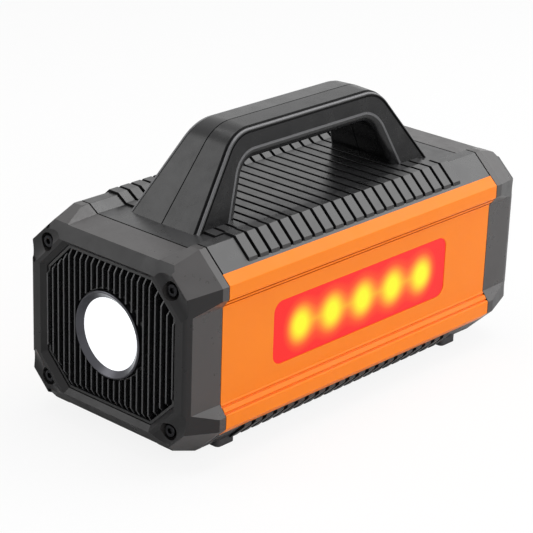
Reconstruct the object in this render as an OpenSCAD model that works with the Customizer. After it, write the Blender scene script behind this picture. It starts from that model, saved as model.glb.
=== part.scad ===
// Jump starter pack with a torch, a warning lamp and a fixed carry handle.
// Millimetres, +Z up, front (torch) towards -Y, warning lamp towards +X.
// The origin is on the ground under the middle of the pack.

/* [Body] */
// Width across the side rails
rail_w = 106; // [100:0.5:116]
// Height of the top shoulders above the axis
roof_z = 46.6; // [46:0.1:52]
// Depth of the bottom shoulders below the axis
belly_z = 47.2; // [46.8:0.1:52]
// Length between the seams of the two caps
body_l = 186; // [180:1:220]
// Width across the outer edges of the shoulders
shoulder_w = 77.2; // [76:0.1:80]
// Width of the flat on each shoulder
shoulder_flat = 5.4; // [5:0.1:7]
// Depth of the valley between the shoulders
valley_d = 3.3; // [2.6:0.1:4]
// Width of the slope on each side of the valley
valley_run = 5.2; // [4:0.1:6]
// Height above the axis where the chamfers meet the rails
rail_edge_z = 33.2; // [32.5:0.1:35]
// Height of the flat on each rail
rail_h = 6; // [5:0.1:7]
// Depth of the recess in each side panel
recess_d = 3.7; // [3:0.1:4.5]
// Height of the slope from a rail down to the recess
recess_run = 4.7; // [4:0.1:6]
// Width across the seams between black shells and side panels
split_w = 97.3; // [96.4:0.1:98.4]
// Wall thickness of the shells and side panels
wall = 2.5; // [2:0.1:3]
// Length of the lip that laps each long seam inside
lip_w = 4; // [3:0.5:5]

/* [Ribs] */
// Number of cross grooves in the top and in the bottom
groove_n = 22; // [10:1:24]
// Distance from one groove to the next
groove_pitch = 7.03; // [6:0.01:7.4]
// Distance from the front seam to the first groove
groove_first = 16.7; // [15:0.1:20]
// Width of a groove
groove_w = 1.3; // [0.8:0.1:1.6]
// Depth of a groove
groove_d = 1.5; // [0.8:0.1:1.6]
// Width of the sunk strip between the ribs and the side panels
strip_w = 1.6; // [1:0.1:2.2]
// Depth of that strip
strip_d = 0.6; // [0.3:0.1:1]
// Height by which the bottom ribs stand out
rib_proud = 1; // [0.5:0.1:1.4]

/* [Caps] */
// Depth of each end cap from its seam to its nose
cap_l = 21; // [20.5:0.1:23]
// Width of the full-size band beside the seam
band_l = 3.8; // [2:0.1:5]
// How far the cap has drawn in where its taper ends
taper = 4.4; // [3.8:0.1:4.8]
// How far the nose is drawn in
nose_inset = 6.3; // [5.4:0.1:6.6]
// Rounding between the taper and the nose
nose_round = 2.8; // [2:0.1:3.2]
// Fit between a cap's spigot and the shells
spigot_fit = 0.15; // [0.1:0.05:0.25]
// Thickness of the spigot
spigot_t = 1.75; // [1.4:0.05:1.9]
// Length of the spigot inside the shells
spigot_l = 4; // [3:0.5:6]
// Depth by which the valley drops towards the nose
valley_drop = 1.1; // [0.6:0.1:1.4]
// How far the side recess leans in towards the nose
recess_lean = 0.5; // [0:0.1:0.8]
// Depth of the leaning facet above and below the opening
lean_d = 3.9; // [3:0.1:4.4]
// Radius of the scooped corner facets
scoop_r = 8.5; // [7.5:0.1:9.5]
// Depth of the scooped corner facets
scoop_d = 1.7; // [1.2:0.1:1.9]
// Length of the scooped corner facets
scoop_l = 27; // [25:0.5:30]

/* [Opening] */
// Width of the octagonal opening in a cap
open_w = 84.4; // [82:0.2:86]
// Height of the opening
open_h = 73.2; // [70:0.2:74]
// Width of the opening's top and bottom edges
open_flat = 53.8; // [52:0.2:56]
// Height of the opening's side edges
open_side = 43.2; // [42:0.2:45]
// Width of the bevel round the opening
bevel = 2.3; // [1.8:0.1:2.6]
// Thickness of the rim round the opening
rim_t = 3.6; // [3.2:0.1:4]
// Gap between an insert and the opening
insert_gap = 0.25; // [0.15:0.05:0.4]
// Thickness of an insert's flange
flange_t = 2; // [1.6:0.1:2.4]
// How far the flange reaches beyond the opening
flange_lap = 1.3; // [1.1:0.1:1.5]

/* [Grille] */
// Number of upright fins
fin_n = 23; // [15:2:23]
// Distance from one fin to the next
fin_pitch = 3.57; // [3.3:0.01:3.6]
// Thickness of a fin
fin_t = 0.8; // [0.6:0.1:1.2]
// Distance of the fins' front edges below the nose
fin_sink = 1.5; // [1:0.1:2.5]
// Bevel at each end of a fin, in depth
fin_bevel = 2; // [1:0.1:3]
// Bevel at each end of a fin, in height
fin_bevel_z = 3; // [1.5:0.1:4]
// Thickness of the grille's back plate
plate_t = 2; // [1.6:0.1:3]
// Depth of the fins in front of the back plate
fin_depth = 8.5; // [6:0.5:9]
// Thickness of the frame round the fins
frame_t = 1.2; // [1:0.1:2]
// Distance of that frame below the nose
frame_sink = 2.7; // [2.4:0.1:3.4]

/* [Torch] */
// Radius of the torch bezel
bezel_r = 20; // [18:0.1:21]
// Distance of the bezel's front below the nose
bezel_sink = 0.6; // [0.2:0.1:1.4]
// Width of the bezel's front edge
bezel_edge = 0.8; // [0.4:0.1:1.2]
// Radius of the lit lens that shows
lens_r = 16.6; // [14:0.1:17]
// Depth of the funnel in front of the lens
funnel_d = 2.3; // [1:0.1:3]
// Thickness of the lens
lens_t = 1.8; // [1.4:0.1:2.4]
// Width by which the lens reaches under the bezel
lens_lap = 1.2; // [0.8:0.1:1.3]
// Thickness of the seal behind the lens
seal_t = 0.9; // [0.6:0.1:1.2]
// Thickness of the reflector's wall
reflector_t = 1.2; // [1:0.1:1.6]
// Radius of the hole at the back of the reflector
reflector_hole = 4; // [3.7:0.1:5]
// Side of the torch's light chip
chip_w = 5; // [4:0.1:5]
// Length of the torch's heat sink behind its base
sink_l = 11; // [6:1:14]
// Number of fins on the heat sink
sink_fins = 16; // [8:1:18]

/* [Handle] */
// Length of the handle on the valley floor
handle_l = 160.4; // [156:0.2:166]
// How far the handle's middle lies in front of the body's middle
handle_lead = 0.9; // [0:0.1:1.5]
// Height of the handle above the valley floor
handle_h = 39; // [36:0.5:46]
// Angle of the legs' outer faces
leg_angle = 51.5; // [50:0.5:54]
// Angle of the legs' inner faces
gap_angle = 66; // [62:0.5:68]
// Length of the finger gap on the valley floor
gap_l = 108.6; // [104:0.2:111]
// Height of the finger gap
gap_h = 25.7; // [24:0.1:28]
// Radius of the outer bends
bend_r = 19.6; // [16:0.1:24]
// Radius of the finger gap's upper corners
gap_r = 10.3; // [8:0.1:12]
// Width of the handle at its feet
foot_w = 42.4; // [40:0.2:46]
// Width of the handle at its top
grip_w = 24.6; // [22:0.2:28]
// Wall thickness of the handle halves
handle_wall = 3; // [2.6:0.1:3.4]
// Width of the step along the handle's outer edges
edge_step_w = 2.3; // [1.6:0.1:2.8]
// Depth of that step
edge_step_d = 0.9; // [0.5:0.1:1.2]

/* [Feet] */
// Height of the feet below the bottom shoulders
foot_h = 3.7; // [3:0.1:5]
// Length of a foot
foot_l = 11; // [8:0.5:12]
// Width of a foot
foot_x = 11.1; // [10.7:0.1:12]
// Distance from the front seam to the front feet
foot_front = 10.5; // [9:0.5:11]
// Distance from the rear seam to the rear feet
foot_rear = 5.5; // [5.3:0.1:6]
// Radius of a foot's stud
stud_r = 2; // [1.5:0.1:2.5]

/* [Warning lamp] */
// Length of the lamp window
lamp_l = 120.5; // [112:0.5:124]
// Height of the lamp window
lamp_h = 30.2; // [28:0.1:32]
// Corner radius of the lamp window
lamp_r = 5.3; // [3:0.1:7]
// Distance of the lens face below the panel
lamp_sink = 0.2; // [0:0.05:0.5]
// Gap between the lens and the window
lamp_gap = 0.2; // [0.1:0.05:0.3]
// Number of warning lights
led_n = 5; // [3:1:5]
// Distance from one warning light to the next
led_pitch = 21.2; // [20:0.1:23]
// Side of a warning light
led_w = 5; // [3:0.1:6]
// Thickness of the lens flange
lamp_flange_t = 1.5; // [1:0.1:2]
// Depth of the light tray
tray_d = 4.1; // [3.8:0.1:5]

/* [Screws] */
// Radius of the cap screws' shanks
screw_r = 1.5; // [1.5:0.1:1.8]
// Radius of the cap screws' heads
head_r = 2.85; // [2.75:0.05:3.2]
// Height of the cap screws' heads
head_h = 3; // [2:0.1:3.2]
// Across flats of the cap screws' sockets
socket_af = 2.5; // [2:0.1:3]
// Distance of the cap screws from the middle, sideways
screw_x = 38.4; // [38:0.1:38.8]
// Distance of the cap screws from the axis, up and down
screw_z = 32.4; // [32:0.1:32.8]
// Radius of the screw wells
well_r = 4.2; // [4:0.05:4.9]
// Depth of the screw wells below the nose
well_d = 4.6; // [4.4:0.1:5.2]
// Thread length of the cap screws in the body
grip_l = 9; // [7:0.5:12]
// Gap between a thread and its pilot hole
thread_gap = 0.03; // [0.02:0.01:0.05]
// Gap between a shank and its clearance hole
shank_gap = 0.2; // [0.1:0.05:0.3]
// Radius of the small screws inside
small_r = 1; // [0.9:0.05:1.1]
// Radius of the small screws' heads
small_head_r = 1.8; // [1.6:0.05:1.85]

/* [Rear panel] */
// Distance of the rear panel's face below the nose
panel_sink = 3; // [2.8:0.1:4]
// Thickness of the rear panel
panel_t = 4.5; // [4.3:0.1:5]
// Height of the button row above the axis
row_z = 19; // [18:0.5:20]
// Distance of the buttons from the middle
button_x = 28; // [27:0.5:29]
// Radius of the round buttons
button_r = 6; // [5:0.1:6.5]
// Height of a button above the panel
button_proud = 1.2; // [1.1:0.1:2]
// Travel of a button
travel = 1; // [0.6:0.1:1.1]
// Running gap round a button and behind the panel
button_gap = 0.3; // [0.25:0.05:0.4]
// Width of a button's retaining flange
button_lip = 1.2; // [0.8:0.1:1.4]
// Width of the display window
display_w = 36; // [30:0.5:38]
// Height of the display window
display_h = 14; // [10:0.5:15]
// Thickness of the display window
display_t = 1.2; // [0.8:0.1:1.6]

/* [Sockets and covers] */
// Height of the USB row's middle above the axis
usb_z = -1; // [-2:0.5:0]
// Width of a USB-A shell
usb_a_w = 13.2; // [13:0.1:13.4]
// Height of a USB-A shell
usb_a_h = 5.8; // [5.6:0.1:6]
// Distance from one USB-A socket to the next
usb_a_pitch = 17; // [16:0.5:18]
// Width of the USB-C shell
usb_c_w = 8.94; // [8.9:0.01:9.2]
// Height of the USB-C shell
usb_c_h = 3.16; // [3.1:0.01:3.4]
// Distance of the USB-C socket's middle from the end of its cover
usb_c_end = 9; // [8:0.5:10]
// Wall of the socket shells
socket_wall = 0.35; // [0.3:0.05:0.4]
// Height of the jump socket's middle above the axis
jump_z = -22.5; // [-23:0.5:-22]
// Width of the jump socket housing
jump_w = 21; // [20:0.5:23]
// Height of the jump socket housing
jump_h = 10.6; // [10:0.1:11]
// Distance between the jump socket's contacts
contact_pitch = 10.5; // [9.5:0.1:11]
// Inner radius of a contact, for a 5 mm bullet
contact_r = 2.55; // [2.5:0.01:2.6]
// Wall of a contact
contact_wall = 0.8; // [0.6:0.05:0.9]
// Width of the USB cover
usb_cover_w = 52; // [50:0.5:56]
// Height of the USB cover
usb_cover_h = 11; // [10.5:0.5:12]
// Width of the jump socket cover
jump_cover_w = 28; // [26:0.5:32]
// Height of the jump socket cover
jump_cover_h = 14; // [13.5:0.5:14.5]
// Thickness of a cover
cover_t = 2.4; // [2:0.1:2.6]
// Gap round a cover
cover_gap = 0.35; // [0.3:0.05:0.4]
// Radius of a cover's hinge barrel
barrel_r = 1.6; // [1.5:0.05:1.7]
// Radius of a hinge pin
pin_r = 0.6; // [0.5:0.05:0.7]
// Running gap between a hinge pin and its barrel
pin_gap = 0.06; // [0.04:0.01:0.1]
// Length of pin held in the panel at each end
pin_hold = 2.5; // [2:0.5:4]

/* [Battery and boards] */
// Number of battery cells in the stack
cell_n = 4; // [3:1:4]
// Length of a cell
cell_l = 118; // [100:1:120]
// Width of a cell
cell_w = 62; // [50:1:64]
// Thickness of a cell
cell_t = 12; // [8:0.5:12.5]
// Thickness of the pads between the cells
pad_t = 0.8; // [0.5:0.1:1]
// Wall of the battery tray
tray_wall = 2; // [1.5:0.1:2.5]
// Height of the battery tray
tray_h = 22; // [12:1:30]
// Gap between the cells and the tray
cell_gap = 0.4; // [0.2:0.1:0.8]
// Width of a battery strap
strap_w = 14; // [8:1:20]
// Thickness of a battery strap
strap_t = 1; // [0.6:0.1:1.2]
// Distance from one battery strap to the other
strap_pitch = 64; // [50:1:80]
// Thickness of the circuit boards
board_t = 1.6; // [1.2:0.1:2]
// Length of the main board
board_l = 128; // [120:1:132]
// Width of the main board
board_w = 72; // [70:1:74]
// Height of the main board above the axis
board_z = 21; // [20:0.5:23]
// Radius of the jump leads
lead_r = 2.75; // [2.5:0.05:3]
// Bend radius of the jump leads
lead_bend = 9; // [8:0.5:10]

/* [Hidden] */

$fn = 48;
hull_fn = 32;
over = 1;      // how far a cutter runs past the faces that it cuts
axis_z = belly_z + foot_h;

// ---- section of the body ----
rail_x = rail_w / 2;
shoulder_x = shoulder_w / 2;
shoulder_in = shoulder_x - shoulder_flat;
valley_x = shoulder_in - valley_run;
valley_z = roof_z - valley_d;
keel_z = belly_z - valley_d;
recess_x = rail_x - recess_d;
rail_in_z = rail_edge_z - rail_h;
recess_z = rail_in_z - recess_run;
split_x = split_w / 2;
chamfer_run = rail_x - shoulder_x;

function chamfer_z(x, edge_z) = edge_z - (x - shoulder_x) * (edge_z - rail_edge_z) / chamfer_run;
function mirrored(p) = [for (i = [len(p) - 1:-1:0]) [-p[i].x, p[i].y]];
function reversed(p) = [for (i = [len(p) - 1:-1:0]) p[i]];
function left_of(a, b) = let (d = (b - a) / norm(b - a)) [-d.y, d.x];

// An open line moved to its left by d, with mitred corners
function inset_open(p, d) = [for (i = [0:len(p) - 1])
    let (before = left_of(p[max(i - 1, 0)], p[max(i, 1)]),
         after = left_of(p[min(i, len(p) - 2)], p[min(i + 1, len(p) - 1)]))
    p[i] + (before + after) * d / (1 + before * after)];

// A closed outline, drawn anticlockwise, moved inwards by d
function inset_closed(p, d) = [for (i = [0:len(p) - 1])
    let (n = len(p),
         before = left_of(p[(i + n - 1) % n], p[i]),
         after = left_of(p[i], p[(i + 1) % n]))
    p[i] + (before + after) * d / (1 + before * after)];

// Half of a line that crosses the top or the bottom, from the seam to the middle
function half_line(edge_z, end_x = split_x) =
    [[end_x, chamfer_z(end_x, edge_z)], [shoulder_x, edge_z], [shoulder_in, edge_z],
     [valley_x, edge_z - valley_d]];
function cross_line(edge_z, end_x = split_x) =
    concat(half_line(edge_z, end_x), mirrored(half_line(edge_z, end_x)));
function flipped(p) = [for (i = [len(p) - 1:-1:0]) [p[i].x, -p[i].y]];

top_line = cross_line(roof_z);
bottom_line = flipped(cross_line(belly_z));
rail_line = [[rail_x, rail_in_z], [recess_x, recess_z]];
side_line = concat([[split_x, -chamfer_z(split_x, belly_z)], [rail_x, -rail_edge_z]],
                   [for (p = rail_line) [p.x, -p.y]], reversed(rail_line),
                   [[rail_x, rail_edge_z], [split_x, chamfer_z(split_x, roof_z)]]);
function tail(p) = [for (i = [1:len(p) - 1]) p[i]];
section = concat(tail(top_line), tail(mirrored(side_line)), tail(bottom_line), tail(side_line));
octagon = [[rail_x, -rail_edge_z], [rail_x, rail_edge_z], [shoulder_x, roof_z], [-shoulder_x, roof_z],
           [-rail_x, rail_edge_z], [-rail_x, -rail_edge_z], [-shoulder_x, -belly_z],
           [shoulder_x, -belly_z]];

// Two fine grooves on the slope between a rail and the recess
notch_w = 0.35;
notch_d = 0.45;
notch_places = [0.3, 0.62];
function notched(a, b) = let (n = left_of(a, b), d = (b - a) / norm(b - a)) concat([a],
    [for (t = notch_places, s = [-1:1]) a + (b - a) * t + d * s * notch_w + n * (s == 0 ? notch_d : 0)],
    [b]);
notched_side = concat([side_line[0], side_line[1]], notched(side_line[2], side_line[3]),
                      notched(side_line[4], side_line[5]), [side_line[6], side_line[7]]);

module at_axis() translate([0, 0, axis_z]) children();
// Draws its outline in X and Z, and runs from y to y + h
module along_y(y, h) translate([0, y + h, 0]) rotate([90, 0, 0]) linear_extrude(h) children();
// Draws its outline in Y and Z, and runs from x to x + h
module along_x(x, h) translate([x, 0, 0]) rotate([90, 0, 90]) linear_extrude(h) children();
module both_sides() { children(); mirror([1, 0, 0]) children(); }
module four_corners(x, z) for (sx = [-1, 1], sz = [-1, 1]) translate([sx * x, 0, sz * z]) children();
// A rod along -Y (outwards on a cap), from depth a to depth b
module rod(r, a, b, r2 = undef) translate([0, -a, 0]) rotate([90, 0, 0])
    cylinder(h = b - a, r1 = r, r2 = r2 == undef ? r : r2);
// A block in a cap's frame: w wide, h high, from depth a to depth b
module slab(w, h, a, b) translate([-w / 2, -b, -h / 2]) cube([w, b - a, h]);
module rounded(w, h, r) {
    square([w - 2 * r, h], center = true);
    square([w, h - 2 * r], center = true);
    for (x = [-1, 1], y = [-1, 1]) translate([x * (w / 2 - r), y * (h / 2 - r)]) circle(r);
}
// A rounded plate in a cap's frame
module plate(w, h, r, a, b) along_y(-b, b - a) rounded(w, h, r);

// ---- grooves and shells ----
function groove_y(i) = -body_l / 2 + groove_first + i * groove_pitch;
rib_start = groove_y(0) - groove_pitch / 2;
rib_end = groove_y(groove_n - 1) + groove_pitch / 2;
rib_edge = split_x - strip_w;
groove_edge = rib_edge + 0.4;    // the grooves run on a little past the ribs

module band(line, outer, inner) polygon(concat(inset_open(line, -outer), reversed(inset_open(line, inner))));
module grooves(line, proud) for (i = [0:groove_n - 1])
    along_y(groove_y(i) - groove_w / 2, groove_w) band(line, proud + over, groove_d);
// The sunk strip beside the ribs, along both seams
module strips(edge_z) {
    cut = [[split_x + over, chamfer_z(split_x + over, edge_z)], [rib_edge, chamfer_z(rib_edge, edge_z)]];
    both_sides() along_y(rib_start, rib_end - rib_start)
        polygon(concat(inset_open(cut, -over), reversed(inset_open(cut, strip_d))));
}

// Screw posts in the shells, where the caps are screwed on
post_r = 4.2;
post_l = 16;
post_web = 3;
post_web_l = 9.5;
web_angle = [atan2(roof_z - rail_edge_z, chamfer_run), 180 - atan2(belly_z - rail_edge_z, chamfer_run)];
module post_pair(low) for (end = [-1, 1], sx = [-1, 1]) {
    y0 = end < 0 ? -body_l / 2 : body_l / 2 - post_l;
    web_y = end < 0 ? spigot_l + over : 0;
    translate([sx * screw_x, y0, (low ? -1 : 1) * screw_z]) {
        rotate([-90, 0, 0]) cylinder(h = post_l, r = post_r);
        rotate([0, sx * web_angle[low ? 1 : 0], 0]) translate([-post_web / 2, web_y, 0])
            cube([post_web, post_l - spigot_l - over, post_web_l]);
    }
}
module post_holes(low) for (end = [-1, 1], sx = [-1, 1])
    translate([sx * screw_x, end < 0 ? -body_l / 2 - over : body_l / 2 + over, (low ? -1 : 1) * screw_z])
        rotate([end < 0 ? -90 : 90, 0, 0]) cylinder(h = grip_l + 1 + over, r = screw_r + thread_gap);

// ---- inside positions ----
floor_z = -(keel_z - wall);
ceiling_z = valley_z - wall;
tray_z = floor_z + 0.05;
stack_z = tray_z + tray_wall;
cell_step = cell_t + pad_t;
stack_h = cell_n * cell_step - pad_t;
stack_y = -3;
ear_x = cell_w / 2 + cell_gap + tray_wall + 3.5;
tray_thread = 3.5;
tray_screw_in = 12;
tray_screw_y = cell_l / 2 - tray_screw_in;
board_y = -4;
board_screw_x = board_w / 2 - 4;
board_screw_y = board_l / 2 - 5;
board_top = board_z + board_t;
boss_r = 3;
handle_mid = -handle_lead;
handle_screw_x = 7;
handle_boss_h = 12;
handle_post_r = boss_r + 0.6;
// The posts stand just clear of the sloping end wall
handle_screw_y = handle_l / 2 - handle_boss_h / tan(leg_angle) - handle_wall / sin(leg_angle)
    - handle_post_r - insert_gap;
handle_screw_r = 1.5;
handle_head_r = 2.8;
handle_head_h = 2;

module each_board_screw() for (sx = [-1, 1], sy = [-1, 1])
    translate([sx * board_screw_x, board_y + sy * board_screw_y, 0]) children();
module each_tray_screw() for (sx = [-1, 1], sy = [-1, 1])
    translate([sx * ear_x, stack_y + sy * tray_screw_y, 0]) children();
module each_handle_screw() for (sx = [-1, 1], sy = [-1, 1])
    translate([sx * handle_screw_x, handle_mid + sy * handle_screw_y, 0]) children();
module each_foot() for (end = [-1, 1]) translate([0, foot_y(end), 0]) both_sides() children();
function foot_y(end) = end < 0 ? -body_l / 2 + foot_front + foot_l / 2 : body_l / 2 - foot_rear - foot_l / 2;
foot_mid_x = shoulder_x - foot_x / 2;

module top_shell() color("#3a3a3c") at_axis() difference() {
    union() {
        along_y(-body_l / 2, body_l) band(top_line, 0, wall);
        intersection() {
            post_pair(false);
            along_y(-body_l / 2, body_l) polygon(concat(inset_open(top_line, wall / 2), [[0, 0]]));
        }
        each_board_screw() translate([0, 0, board_top]) cylinder(h = ceiling_z + wall / 2 - board_top, r = boss_r);
    }
    grooves(cross_line(roof_z, groove_edge), 0);
    strips(roof_z);
    post_holes(false);
    each_board_screw() translate([0, 0, board_top - over])
        cylinder(h = board_thread + 2 + over, r = small_r + thread_gap);
    each_handle_screw() translate([0, 0, ceiling_z - over])
        cylinder(h = wall + 2 * over, r = handle_screw_r + shank_gap);
}

module bottom_shell() color("#3a3a3c") at_axis() difference() {
    union() {
        along_y(-body_l / 2, body_l) band(bottom_line, 0, wall);
        along_y(rib_start, rib_end - rib_start)
            band(flipped(cross_line(belly_z, rib_edge)), rib_proud, wall / 2);
        intersection() {
            post_pair(true);
            along_y(-body_l / 2, body_l) polygon(concat(inset_open(bottom_line, wall / 2), [[0, 0]]));
        }
        each_tray_screw() translate([0, 0, -belly_z + wall / 2]) cylinder(h = tray_z + belly_z - wall / 2, r = boss_r);
    }
    grooves(flipped(cross_line(belly_z, groove_edge)), rib_proud);
    post_holes(true);
    each_tray_screw() translate([0, 0, tray_z - tray_thread - 0.5])
        cylinder(h = tray_thread + 0.5 + over, r = small_r + thread_gap);
    // Seats that keep the ribs clear of the feet, and the holes for the feet's studs
    each_foot() {
        along_y(-foot_l / 2 - insert_gap, foot_l + 2 * insert_gap) polygon([
            [foot_mid_x - foot_x / 2 - insert_gap, -belly_z - rib_proud - over],
            [shoulder_x + over, -belly_z - rib_proud - over],
            [shoulder_x + over, -belly_z], [shoulder_in, -belly_z],
            [valley_x, -keel_z], [foot_mid_x - foot_x / 2 - insert_gap, -keel_z]]);
        translate([shoulder_in + shoulder_flat / 2, 0, -belly_z - over])
            cylinder(h = wall + 2 * over, r = stud_r + thread_gap);
    }
}

module feet() color("#2a2a2b") at_axis() each_foot() {
    intersection() {
        along_y(-foot_l / 2, foot_l) polygon([
            [foot_mid_x - foot_x / 2, -axis_z], [shoulder_x, -axis_z], [shoulder_x, -belly_z],
            [shoulder_in, -belly_z], [valley_x, -keel_z], [foot_mid_x - foot_x / 2, -keel_z]]);
        translate([foot_mid_x, 0, -axis_z]) linear_extrude(2 * foot_h + valley_d) rounded(foot_x, foot_l, 2);
    }
    translate([shoulder_in + shoulder_flat / 2, 0, -belly_z - 1]) cylinder(h = wall + 2.6, r = stud_r);
}

// ---- side panels ----
module lap_lips() for (line = [[side_line[6], side_line[7]], [side_line[1], side_line[0]]]) {
    d = (line[1] - line[0]) / norm(line[1] - line[0]);
    n = left_of(line[0], line[1]) * (line[1].y > 0 ? 1 : -1);
    along_y(-body_l / 2 + post_l + over, body_l - 2 * (post_l + over)) polygon([
        line[1] - d * lip_w + n * (wall - 0.5), line[1] + n * (wall - 0.5), line[1] + n * (wall + insert_gap),
        line[1] + d * lip_w + n * (wall + insert_gap), line[1] + d * lip_w + n * (wall + insert_gap + 1.2),
        line[1] - d * lip_w + n * (wall + insert_gap + 1.2)]);
}
module panel_body() {
    along_y(-body_l / 2, body_l) polygon(concat(notched_side, reversed(inset_open(side_line, wall))));
    lap_lips();
}

// ---- warning lamp, on the right panel ----
lamp_face = recess_x - lamp_sink;
lamp_back = recess_x - wall;
flange_x = lamp_back - lamp_flange_t;
lamp_flange = 2;
tray_x = flange_x - tray_d;
ear_y = lamp_l / 2 + lamp_flange + boss_r + insert_gap;
ear_z = lamp_h / 4;
ear_t = 1.8;
lamp_thread = 3.5;
module each_lamp_screw() for (sy = [-1, 1], sz = [-1, 1]) translate([0, sy * ear_y, sz * ear_z])
    rotate([0, 90, 0]) children();
module each_led() for (i = [0:led_n - 1]) translate([0, (i - (led_n - 1) / 2) * led_pitch, 0]) children();

module side_panel_right() color("#f7862b") at_axis() difference() {
    union() {
        panel_body();
        each_lamp_screw() translate([0, 0, tray_x + ear_t]) cylinder(h = recess_x - wall / 2 - tray_x - ear_t, r = boss_r);
    }
    along_x(lamp_back - over, wall + 2 * over) rounded(lamp_l, lamp_h, lamp_r);
    each_lamp_screw() translate([0, 0, tray_x]) cylinder(h = ear_t + lamp_thread + 0.7, r = small_r + thread_gap);
}
module side_panel_left() color("#f7862b") at_axis() mirror([1, 0, 0]) panel_body();

module warning_lens() color("#ff3a2e") at_axis() {
    along_x(lamp_back - lamp_flange_t / 2, lamp_face - lamp_back + lamp_flange_t / 2)
        rounded(lamp_l - 2 * lamp_gap, lamp_h - 2 * lamp_gap, lamp_r - lamp_gap);
    along_x(flange_x, lamp_flange_t)
        rounded(lamp_l + 2 * lamp_flange, lamp_h + 2 * lamp_flange, lamp_r + lamp_flange);
}

well_front = min(led_pitch / 2 - 0.6, lamp_h / 2 - 2);
module warning_tray() color("white") at_axis() difference() {
    union() {
        along_x(tray_x, tray_d) rounded(lamp_l, lamp_h, lamp_r);
        along_x(tray_x, ear_t) rounded(2 * (ear_y + boss_r), 2 * (ear_z + boss_r), boss_r);
    }
    each_led() rotate([0, 90, 0]) translate([0, 0, tray_x - 0.01])
        cylinder(h = tray_d + 0.02, r1 = led_w * 0.75, r2 = well_front);
    each_lamp_screw() translate([0, 0, tray_x - over]) cylinder(h = ear_t + 2 * over, r = small_r + shank_gap);
}
module warning_board() color("#f0f0ee") at_axis() difference() {
    along_x(tray_x - board_t, board_t) rounded(2 * (ear_y + boss_r), 2 * (ear_z + boss_r), boss_r);
    each_lamp_screw() translate([0, 0, tray_x - board_t - over])
        cylinder(h = board_t + 2 * over, r = small_r + shank_gap);
}
module warning_lights() color("#ffd860") at_axis() each_led() {
    translate([tray_x, -led_w / 2, -led_w / 2]) cube([0.9, led_w, led_w]);
    translate([tray_x + 0.8, 0, 0]) rotate([0, 90, 0]) cylinder(h = 0.6, r = led_w * 0.4);
}
module small_screw(length) {
    cylinder(h = length, r = small_r);
    translate([0, 0, -1.4]) cylinder(h = 1.4, r = small_head_r);
}
module warning_screws() color("#b8b8bc") at_axis()
    each_lamp_screw() translate([0, 0, tray_x - board_t]) small_screw(board_t + ear_t + lamp_thread);

// ---- caps ----
cap_wall = wall + spigot_fit + spigot_t;
taper_end = cap_l - nose_round;
rings = [[0, 0], [band_l, 0], [taper_end, taper],
         [cap_l - 0.45 * nose_round, taper + 0.28 * (nose_inset - taper)],
         [cap_l - 0.14 * nose_round, taper + 0.62 * (nose_inset - taper)], [cap_l, nose_inset]];
opening = [[open_w / 2, -open_side / 2], [open_w / 2, open_side / 2], [open_flat / 2, open_h / 2],
           [-open_flat / 2, open_h / 2], [-open_w / 2, open_side / 2], [-open_w / 2, -open_side / 2],
           [-open_flat / 2, -open_h / 2], [open_flat / 2, -open_h / 2]];
rim_back = cap_l - rim_t;

// A solid through rings of outlines, each at its own depth
module loft(outlines, depths) {
    n = len(outlines[0]);
    m = len(outlines);
    polyhedron(
        points = [for (k = [0:m - 1], p = outlines[k]) [p.x, -depths[k], p.y]],
        faces = concat([[for (i = [0:n - 1]) i]], [[for (i = [n - 1:-1:0]) (m - 1) * n + i]],
            [for (k = [0:m - 2], i = [0:n - 1])
                [k * n + i, (k + 1) * n + i, (k + 1) * n + (i + 1) % n, k * n + (i + 1) % n]]));
}
module cap_outside() loft([for (r = rings) inset_closed(octagon, r[1])], [for (r = rings) r[0]]);
module cap_inside() loft([for (r = [rings[0], rings[1], rings[2]]) inset_closed(octagon, cap_wall + r[1])],
    [-over, band_l, rim_back]);
// The recess of the side panels runs on into the cap, where its floor leans in a little
recess_line = let (a = [recess_x, recess_z], b = a + ([rail_x, rail_in_z] - a) * 1.6)
    [b, a, [a.x, -a.y], [b.x, -b.y]];
module recess_cut(grow) both_sides() loft([for (y = [-over, cap_l + over])
    [for (p = inset_closed(recess_line, -grow)) p - [recess_lean * y / cap_l, 0]]], [-over, cap_l + over]);
// The valley runs out towards the nose and drops a little on the way
function valley_line(edge_z, drop) = [[valley_x, edge_z - valley_d - drop], [shoulder_in, edge_z - drop],
    [shoulder_in, edge_z + 3], [-shoulder_in, edge_z + 3], [-shoulder_in, edge_z - drop],
    [-valley_x, edge_z - valley_d - drop]];
module valley_cut(edge_z, grow) loft([for (y = [-over, cap_l + over])
    inset_closed(valley_line(edge_z, valley_drop * y / cap_l), -grow)], [-over, cap_l + over]);
module valley_cuts(grow) {
    valley_cut(roof_z, grow);
    mirror([0, 0, 1]) valley_cut(belly_z, grow);
}
// The facet that leans back from the edge of the opening
lean_rise = 5.5;
module lean_cut(edge_z) {
    low = open_h / 2;
    mirror([0, 0, edge_z < 0 ? 1 : 0]) along_x(-shoulder_x, 2 * shoulder_x) polygon([
        [-cap_l - over, low], [-cap_l, low], [-cap_l + lean_d * 1.4, low + lean_rise * 1.4],
        [-cap_l - over, low + lean_rise * 1.4]]);
}
corner_angle = atan2(open_w / 2 - open_flat / 2, open_h / 2 - open_side / 2);
module scoop() translate([0, -cap_l - scoop_r + scoop_d, 0]) rotate([0, -corner_angle, 0])
    cylinder(h = scoop_l, r = scoop_r, center = true);
scoop_out = 1.4;

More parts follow.
